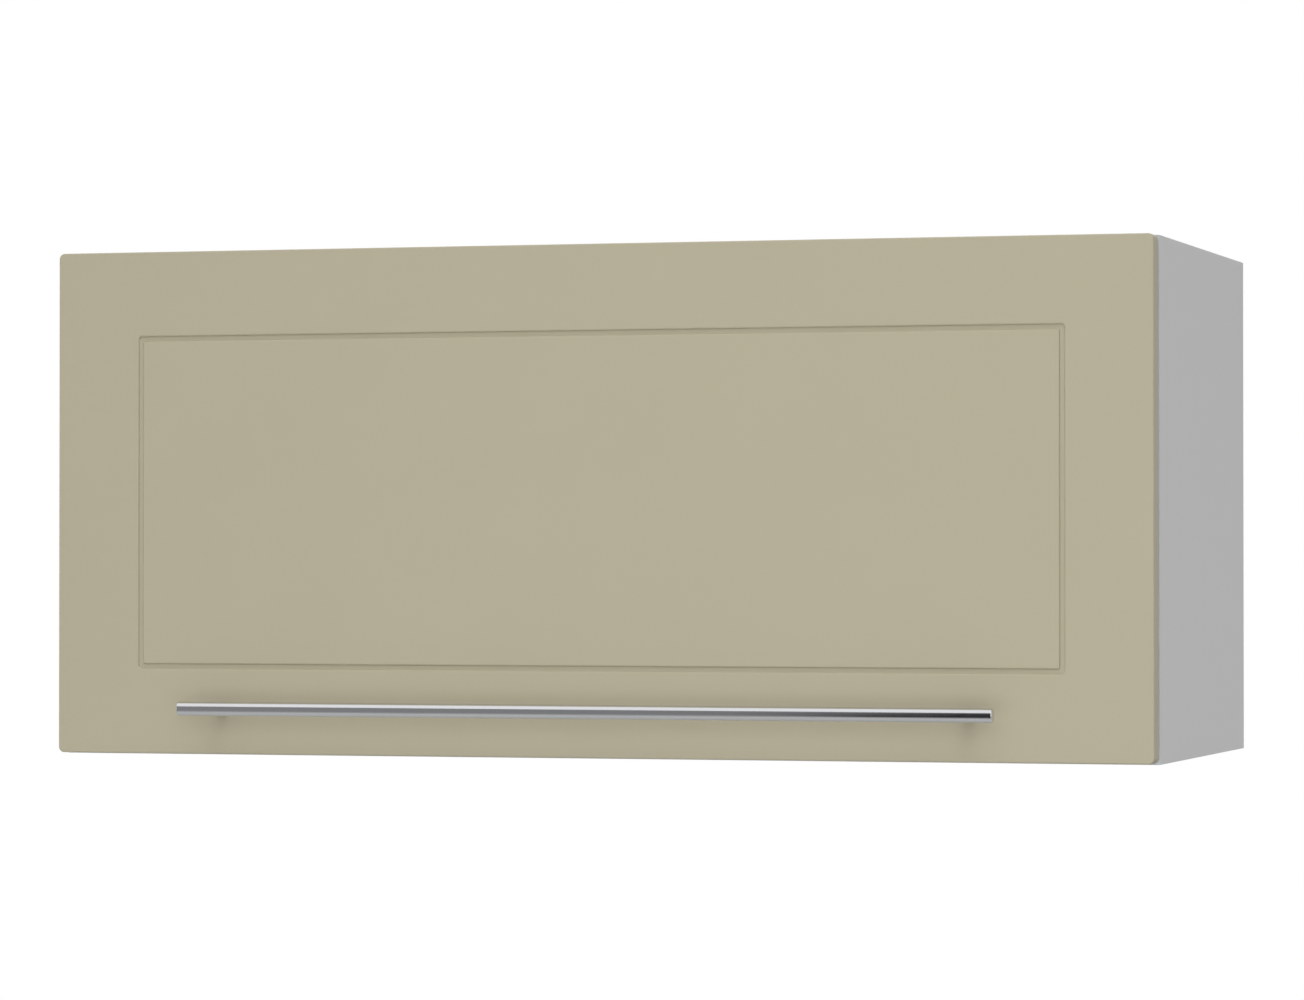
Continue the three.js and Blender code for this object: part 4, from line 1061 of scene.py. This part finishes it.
class LIFT_CABINET_OT_door(bpy.types.Operator):
    """Builds the routed door with its foil, backing and bores"""

    bl_idname = "lift_cabinet.door"
    bl_label = "Door"

    CORNER_STEPS = 10
    EDGE_STEPS = 9
    SHOULDER_STEPS = 5
    BORE_SIDES = 64
    # The materials' places in the door's mesh.
    FOIL, BACKING, FIBRE = 0, 1, 2
    # Radius and depth of the bore for a hinge cup, and radius of a handle screw's hole.
    CUP_BORE = (17.8 * MM, 12.7 * MM)
    HANDLE_HOLE = 2.3 * MM
    # The foil laps this far on to the rear face.
    FOIL_LAP = 0.5 * MM
    # A rear face whose middle lies further in than this is backing.
    BACKING_FROM = 0.4 * MM
    NEAR = 0.01 * MM

    def execute(self, context):
        settings = context.scene.cabinet_door
        low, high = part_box("door")
        foil = matt_foil(settings.foil_colour)
        backing = moulded_plastic("white laminate, pressed", settings.backing_colour, 0.5)
        fibre = bare_fibreboard("fibreboard, bored", settings.fibre_colour, screen=0)

        rings = self.rings(settings, low, high)
        vertices = [v for ring in rings for v in ring]
        count = len(rings[0])
        starts = [i * count for i in range(len(rings))]
        faces = [
            [a + j, b + j, b + (j + 1) % count, a + (j + 1) % count]
            for a, b in zip(starts, starts[1:])
            for j in range(count)
        ]
        faces.append(list(range(count)))
        faces.append([starts[-1] + j for j in reversed(range(count))])
        blank = new_mesh("door_panel", vertices, faces, [foil, backing, fibre])
        outward = bmesh.new()
        outward.from_mesh(blank)
        bmesh.ops.recalc_face_normals(outward, faces=outward.faces)
        outward.to_mesh(blank)
        outward.free()

        bores = []
        for side, _ in SIDES:
            cup_low, cup_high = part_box("hinge_cup_" + side)
            bore = Vector((middle(cup_low, cup_high).x, high.y, cup_low.z + CUP_RADIUS))
            bores.append((bore, *self.CUP_BORE))
            hole = middle(*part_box("handle_screw_" + side))
            hole = Vector((hole.x, high.y, hole.z))
            bores.append((hole, self.HANDLE_HOLE, high.y - low.y + OVERSHOOT))
        cutters = [
            turned(
                "bore",
                [(0, -OVERSHOOT), (radius, -OVERSHOOT), (radius, depth), (0, depth)],
                [],
                self.BORE_SIDES,
                Matrix.Translation(place) @ toward(FORWARD),
            )
            for place, radius, depth in bores
        ]
        # The slab lies on the chamfer's slope and takes off the corner outside it.
        ease = settings.top_ease / 2
        slope = Matrix.Translation((0, high.y - ease, high.z - ease)) @ toward((0, 1, 1))
        cutters.append(block_mesh((-1, -1, 0), (1, 1, 10 * MM), slope))
        panel = carve(blank, *cutters)
        self.paint(panel, low, high, bores)
        piece = add_piece("door_panel", panel, "door", "door_foil", "door")
        round_edges(piece, settings.foil_round, 3)
        return {"FINISHED"}

    def rings(self, settings, low, high):
        """Outlines of the door from its rear face, round the edge, to the middle panel."""
        centre = ((low.x + high.x) / 2, (low.z + high.z) / 2)
        half_x = (high.x - low.x) / 2
        half_z = (high.z - low.z) / 2

        def outline(inset_x, inset_z, radius, y):
            half = (half_x - inset_x, half_z - inset_z)
            points = round_cornered(centre, half, radius, self.CORNER_STEPS)
            return [Vector((x, y, z)) for x, z in points]

        front = low.y
        rear = high.y
        edge = settings.front_edge
        corner = settings.corner
        lap = self.FOIL_LAP
        rings = [outline(lap, lap, corner - lap, rear), outline(0, 0, corner, rear)]
        for step in range(self.EDGE_STEPS + 1):
            angle = step / self.EDGE_STEPS * math.pi / 2
            inset = edge * (1 - math.cos(angle))
            y = front + edge * (1 - math.sin(angle))
            rings.append(outline(inset, inset, corner - inset, y))
        half = settings.groove_width / 2
        spread = settings.groove_outer_corner - settings.groove_inner_corner
        shoulder = settings.groove_shoulder
        wall = []
        for step in range(self.SHOULDER_STEPS + 1):
            angle = step / self.SHOULDER_STEPS * math.pi / 2
            wall.append((half - shoulder * math.sin(angle), shoulder * (1 - math.cos(angle))))
        wall.append((settings.groove_floor / 2, settings.groove_depth))
        for outward, depth in wall + [(-outward, depth) for outward, depth in reversed(wall)]:
            corner = settings.groove_inner_corner + spread * (outward + half) / (2 * half)
            side_inset = settings.groove_side_inset - outward
            end_inset = settings.groove_end_inset - outward
            rings.append(outline(side_inset, end_inset, corner, front + depth))
        return rings

    def paint(self, panel, low, high, bores):
        """Foil on the front and edges, backing behind, bare fibreboard in the bores."""
        for polygon in panel.polygons:
            polygon.use_smooth = True
            centre = polygon.center
            polygon.material_index = self.FOIL
            inset = min(centre.x - low.x, high.x - centre.x, centre.z - low.z, high.z - centre.z)
            if centre.y > high.y - self.NEAR and inset > self.BACKING_FROM:
                polygon.material_index = self.BACKING
            for place, radius, _ in bores:
                across = math.hypot(centre.x - place.x, centre.z - place.z)
                if across < radius + self.NEAR and centre.y < high.y - self.NEAR:
                    polygon.material_index = self.FIBRE


# ---------------------------------------------------------------- handle


class LIFT_CABINET_OT_handle(bpy.types.Operator):
    """Builds the rail handle with its posts and screws"""

    bl_idname = "lift_cabinet.handle"
    bl_label = "Handle"

    BAR_SIDES = 96
    POST_SIDES = 64
    EDGE = 0.12 * MM
    POST_CHAMFER = 0.4 * MM
    # A post ends this share of the bar's radius short of the bar's middle.
    POST_GAP = 0.6
    # Diameter and length of the fixing screws' shank.
    SHANK = (4 * MM, 24 * MM)

    def execute(self, context):
        settings = context.scene.cabinet_handle
        fittings = context.scene.cabinet_fittings
        chrome = polished_chrome(settings.chrome_colour)
        low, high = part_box("handle_bar")
        centre = middle(low, high)
        radius = (high.z - low.z) / 2
        half = (high.x - low.x) / 2
        chamfer = settings.end_chamfer
        profile = [
            (0, -half),
            (radius - chamfer, -half),
            (radius, -half + chamfer),
            (radius, half - chamfer),
            (radius - chamfer, half),
            (0, half),
        ]
        along = Matrix.Translation(centre) @ toward((1, 0, 0))
        bar = turned("handle_rail", profile, [chrome], self.BAR_SIDES, along)
        rail = add_piece("handle_rail", bar, "door", "chrome_handle", "handle_bar")
        round_edges(rail, self.EDGE)

        screw = cross_head("handle_fixing", fittings, self.SHANK)
        head_height = SCREW_HEADS["handle_fixing"][1]
        r = settings.post_diameter / 2
        for side, _ in SIDES:
            post_low, post_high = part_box("handle_post_" + side)
            foot = Vector((middle(post_low, post_high).x, post_high.y, centre.z))
            length = post_high.y - centre.y - radius * self.POST_GAP
            post = turned(
                "handle_leg_" + side,
                [
                    (0, 0),
                    (r - self.POST_CHAMFER, 0),
                    (r, self.POST_CHAMFER),
                    (r, length),
                    (0, length),
                ],
                [chrome],
                self.POST_SIDES,
                Matrix.Translation(foot) @ toward(FORWARD),
            )
            leg = add_piece(post.name, post, "door", "chrome_handle", "handle_post_" + side)
            round_edges(leg, self.EDGE)
            node = "handle_screw_" + side
            seat = Vector((foot.x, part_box(node)[1].y - head_height, centre.z))
            set_screw("handle_fixing_" + side, screw, seat, BACKWARD, "door", node)
        return {"FINISHED"}


# ---------------------------------------------------------------- hinges


class LIFT_CABINET_OT_hinges(bpy.types.Operator):
    """Finishes the cup hinges and adds their screws"""

    bl_idname = "lift_cabinet.hinges"
    bl_label = "Hinges"

    # Screws on both sides of the cup's middle: in its flange, and in the plate's wings.
    FLANGE_SCREWS = 24 * MM
    WING_SCREWS = 16 * MM
    # Screws on the arm, in front of and behind the row of the plate's screws.
    ARM_SCREWS = (("front", -15 * MM), ("rear", 12 * MM))

    def execute(self, context):
        settings = context.scene.cabinet_fittings
        steel = [nickel(settings)]
        flange_screw = cross_head("hinge_screw", settings)
        plate_screw = cross_head("plate_screw", settings)
        arm_screw = cross_head("arm_screw", settings)
        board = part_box("top_panel")[0]
        row = board.y + settings.plate_row
        wing = board.z - settings.plate_sheet
        for side, sign in SIDES:
            for part in ("cup", "arm", "plate"):
                node = f"hinge_{part}_{side}"
                body = "door" if part == "cup" else "carcass"
                refined(node + "_steel", node, body, "nickel_steel", steel, settings.stamped_edge)
            low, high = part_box("hinge_cup_" + side)
            x = middle(low, high).x
            for place, across in (("outer", sign), ("inner", -sign)):
                seat = Vector((x + across * self.FLANGE_SCREWS, high.y, low.z + CUP_RADIUS))
                set_screw(f"hinge_screw_{side}_{place}", flange_screw, seat, BACKWARD, "door")
                seat = Vector((x + across * self.WING_SCREWS, row, wing))
                set_screw(f"plate_screw_{side}_{place}", plate_screw, seat, DOWNWARD, "carcass")
            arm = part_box("hinge_arm_" + side)[0].z
            for place, along in self.ARM_SCREWS:
                seat = Vector((x, row + along, arm))
                set_screw(f"arm_screw_{side}_{place}", arm_screw, seat, DOWNWARD, "carcass")
        return {"FINISHED"}


# ---------------------------------------------------------------- lift stays


class LIFT_CABINET_OT_stays(bpy.types.Operator):
    """Finishes the spring lift stays and adds their rivets and screws"""

    bl_idname = "lift_cabinet.stays"
    bl_label = "Lift stays"

    RIVET_HEIGHT = 2 * MM
    # The elbow's rivet head stands this far outside the lever's inner end.
    ELBOW_SEAT = 1.2 * MM
    # Screws above and below the middle of the door bracket's foot.
    BRACKET_SCREWS = (("upper", 11.5 * MM), ("lower", -11.5 * MM))
    # The cover's panel: length and height, corner, rounding, and rear end of the cover to its
    # middle.
    PANEL = (34 * MM, 58 * MM)
    PANEL_CORNER = 5 * MM
    PANEL_EDGE = 0.3 * MM
    PANEL_INSET = 27 * MM

    def execute(self, context):
        settings = context.scene.cabinet_fittings
        steel = nickel(settings)
        grey = grey_abs(settings)
        foot_screw = cross_head("bracket_screw", settings)
        tension_screw = cross_head("tension_screw", settings)
        dome = domed(settings.rivet_head / 2, self.RIVET_HEIGHT)
        rivet = turned("rivet", dome, [steel], settings.turned_sides)
        stamped = settings.stamped_edge
        parts = (
            ("spring_unit", "carcass", "zinc", die_cast(settings), stamped),
            ("cover", "carcass", "grey_plastic", grey, settings.moulded_edge),
            ("lever", "stay_lever_{}", "nickel_steel", steel, stamped),
            ("link", "stay_link_{}", "nickel_steel", steel, stamped),
            ("door_bracket", "door", "nickel_steel", steel, stamped),
        )
        for side, sign in SIDES:
            for part, body, slot, material, width in parts:
                node = f"stay_{part}_{side}"
                refined(node + "_finished", node, body.format(side), slot, [material], width)
            low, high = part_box("stay_door_bracket_" + side)
            x = sign * (inner_face(low, high) + settings.bracket_screw_inset)
            face = low.y + settings.bracket_sheet
            for place, z in self.BRACKET_SCREWS:
                seat = Vector((x, face, middle(low, high).z + z))
                set_screw(f"bracket_screw_{side}_{place}", foot_screw, seat, BACKWARD, "door")

            # Domed heads close the two pivots of the link, on the side of the shelf space.
            inward = (-sign, 0, 0)
            link_low, link_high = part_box("stay_link_" + side)
            eye = settings.link_width / 2
            lever = "stay_lever_" + side
            elbow_face = inner_face(*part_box(lever)) + self.ELBOW_SEAT
            ear_face = max(abs(low.x), abs(high.x)) - settings.ear_depth
            heads = (
                ("elbow", lever, elbow_face, link_high.y - eye, link_low.z + eye),
                ("ear", "door", ear_face, link_low.y + eye, link_high.z - eye),
            )
            for place, body, depth, y, z in heads:
                seat = Vector((sign * depth, y, z))
                set_screw(f"stay_rivet_{side}_{place}", rivet, seat, inward, body)

            # The cover's moulded panel and its spring screw lie behind the lever's sweep.
            low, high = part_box("stay_cover_" + side)
            x = sign * inner_face(low, high)
            centre = Vector((x, high.y - self.PANEL_INSET, middle(low, high).z))
            relief = -sign * settings.cover_relief
            panel = raised_panel(
                "cover_panel_" + side, centre, self.PANEL, self.PANEL_CORNER, relief, [grey]
            )
            piece = add_piece(panel.name, panel, "carcass", "grey_plastic")
            round_edges(piece, self.PANEL_EDGE)
            seat = centre + Vector((relief, 0, 0))
            set_screw("tension_screw_" + side, tension_screw, seat, inward, "carcass")
        return {"FINISHED"}


# ---------------------------------------------------------------- hangers and bumpers


class LIFT_CABINET_OT_hangers(bpy.types.Operator):
    """Finishes the wall hangers and adds their adjusting screws"""

    bl_idname = "lift_cabinet.hangers"
    bl_label = "Wall hangers"

    # The adjusting screws' distance from the housing's upper and lower end.
    SCREW_INSET = 14 * MM

    def execute(self, context):
        settings = context.scene.cabinet_fittings
        moulded = ("grey_plastic", [grey_abs(settings)], settings.moulded_edge)
        stamped = ("nickel_steel", [nickel(settings)], settings.stamped_edge)
        screw = cross_head("hanger_screw", settings)
        for side, _ in SIDES:
            housing = "hanger_housing_" + side
            refined("hanger_case_" + side, housing, "carcass", *moulded)
            refined("hanger_claw_" + side, "hanger_hook_" + side, "carcass", *stamped)
            low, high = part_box(housing)
            x = middle(low, high).x
            for place, z in (
                ("height", high.z - self.SCREW_INSET),
                ("depth", low.z + self.SCREW_INSET),
            ):
                seat = Vector((x, low.y, z))
                set_screw(f"hanger_screw_{side}_{place}", screw, seat, FORWARD, "carcass")
        return {"FINISHED"}


class LIFT_CABINET_OT_bumpers(bpy.types.Operator):
    """Builds the clear bumpers on the back of the door"""

    bl_idname = "lift_cabinet.bumpers"
    bl_label = "Bumpers"

    DOME_STEPS = 8

    def execute(self, context):
        settings = context.scene.cabinet_fittings
        clear = clear_polyurethane(settings.bumper_colour)
        for side, _ in SIDES:
            low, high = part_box("door_bumper_" + side)
            foot = Vector((middle(low, high).x, low.y, middle(low, high).z))
            drop = turned(
                "bumper_drop_" + side,
                domed((high.x - low.x) / 2, high.y - low.y, self.DOME_STEPS),
                [clear],
                settings.turned_sides,
                Matrix.Translation(foot) @ toward(BACKWARD),
            )
            add_piece(drop.name, drop, "door", "bumper", "door_bumper_" + side)
        return {"FINISHED"}


# ---------------------------------------------------------------- panel and registration


OPERATORS = (
    LIFT_CABINET_OT_stage,
    LIFT_CABINET_OT_carcass,
    LIFT_CABINET_OT_corner_joints,
    LIFT_CABINET_OT_door,
    LIFT_CABINET_OT_handle,
    LIFT_CABINET_OT_hinges,
    LIFT_CABINET_OT_stays,
    LIFT_CABINET_OT_hangers,
    LIFT_CABINET_OT_bumpers,
)


class LIFT_CABINET_PT_sidebar(bpy.types.Panel):
    """Lists the pieces of the cabinet and their settings"""

    bl_idname = "LIFT_CABINET_PT_sidebar"
    bl_label = "Lift-up Wall Cabinet"
    bl_space_type = "VIEW_3D"
    bl_region_type = "UI"
    bl_category = "Wall Cabinet"

    def draw(self, context):
        for operator in OPERATORS:
            self.layout.operator(operator.bl_idname)
        for name in SETTINGS:
            box = self.layout.box()
            group = getattr(context.scene, name)
            for prop in group.__annotations__:
                box.prop(group, prop)


def register():
    for group in SETTINGS.values():
        bpy.utils.register_class(group)
    for name, group in SETTINGS.items():
        setattr(bpy.types.Scene, name, PointerProperty(type=group))
    for operator in OPERATORS:
        bpy.utils.register_class(operator)
    bpy.utils.register_class(LIFT_CABINET_PT_sidebar)


def unregister():
    bpy.utils.unregister_class(LIFT_CABINET_PT_sidebar)
    for operator in reversed(OPERATORS):
        bpy.utils.unregister_class(operator)
    for name, group in SETTINGS.items():
        delattr(bpy.types.Scene, name)
        bpy.utils.unregister_class(group)


def main():
    """Clears the start-up objects and makes every piece."""
    kept = set(frame["nodes"].values()) | set(frame["bodies"].values())
    for thing in [o for o in bpy.data.objects if o not in kept]:
        bpy.data.objects.remove(thing)
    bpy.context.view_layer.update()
    register()
    for operator in OPERATORS:
        group, action = operator.bl_idname.split(".")
        getattr(getattr(bpy.ops, group), action)()


if __name__ == "__main__":
    main()
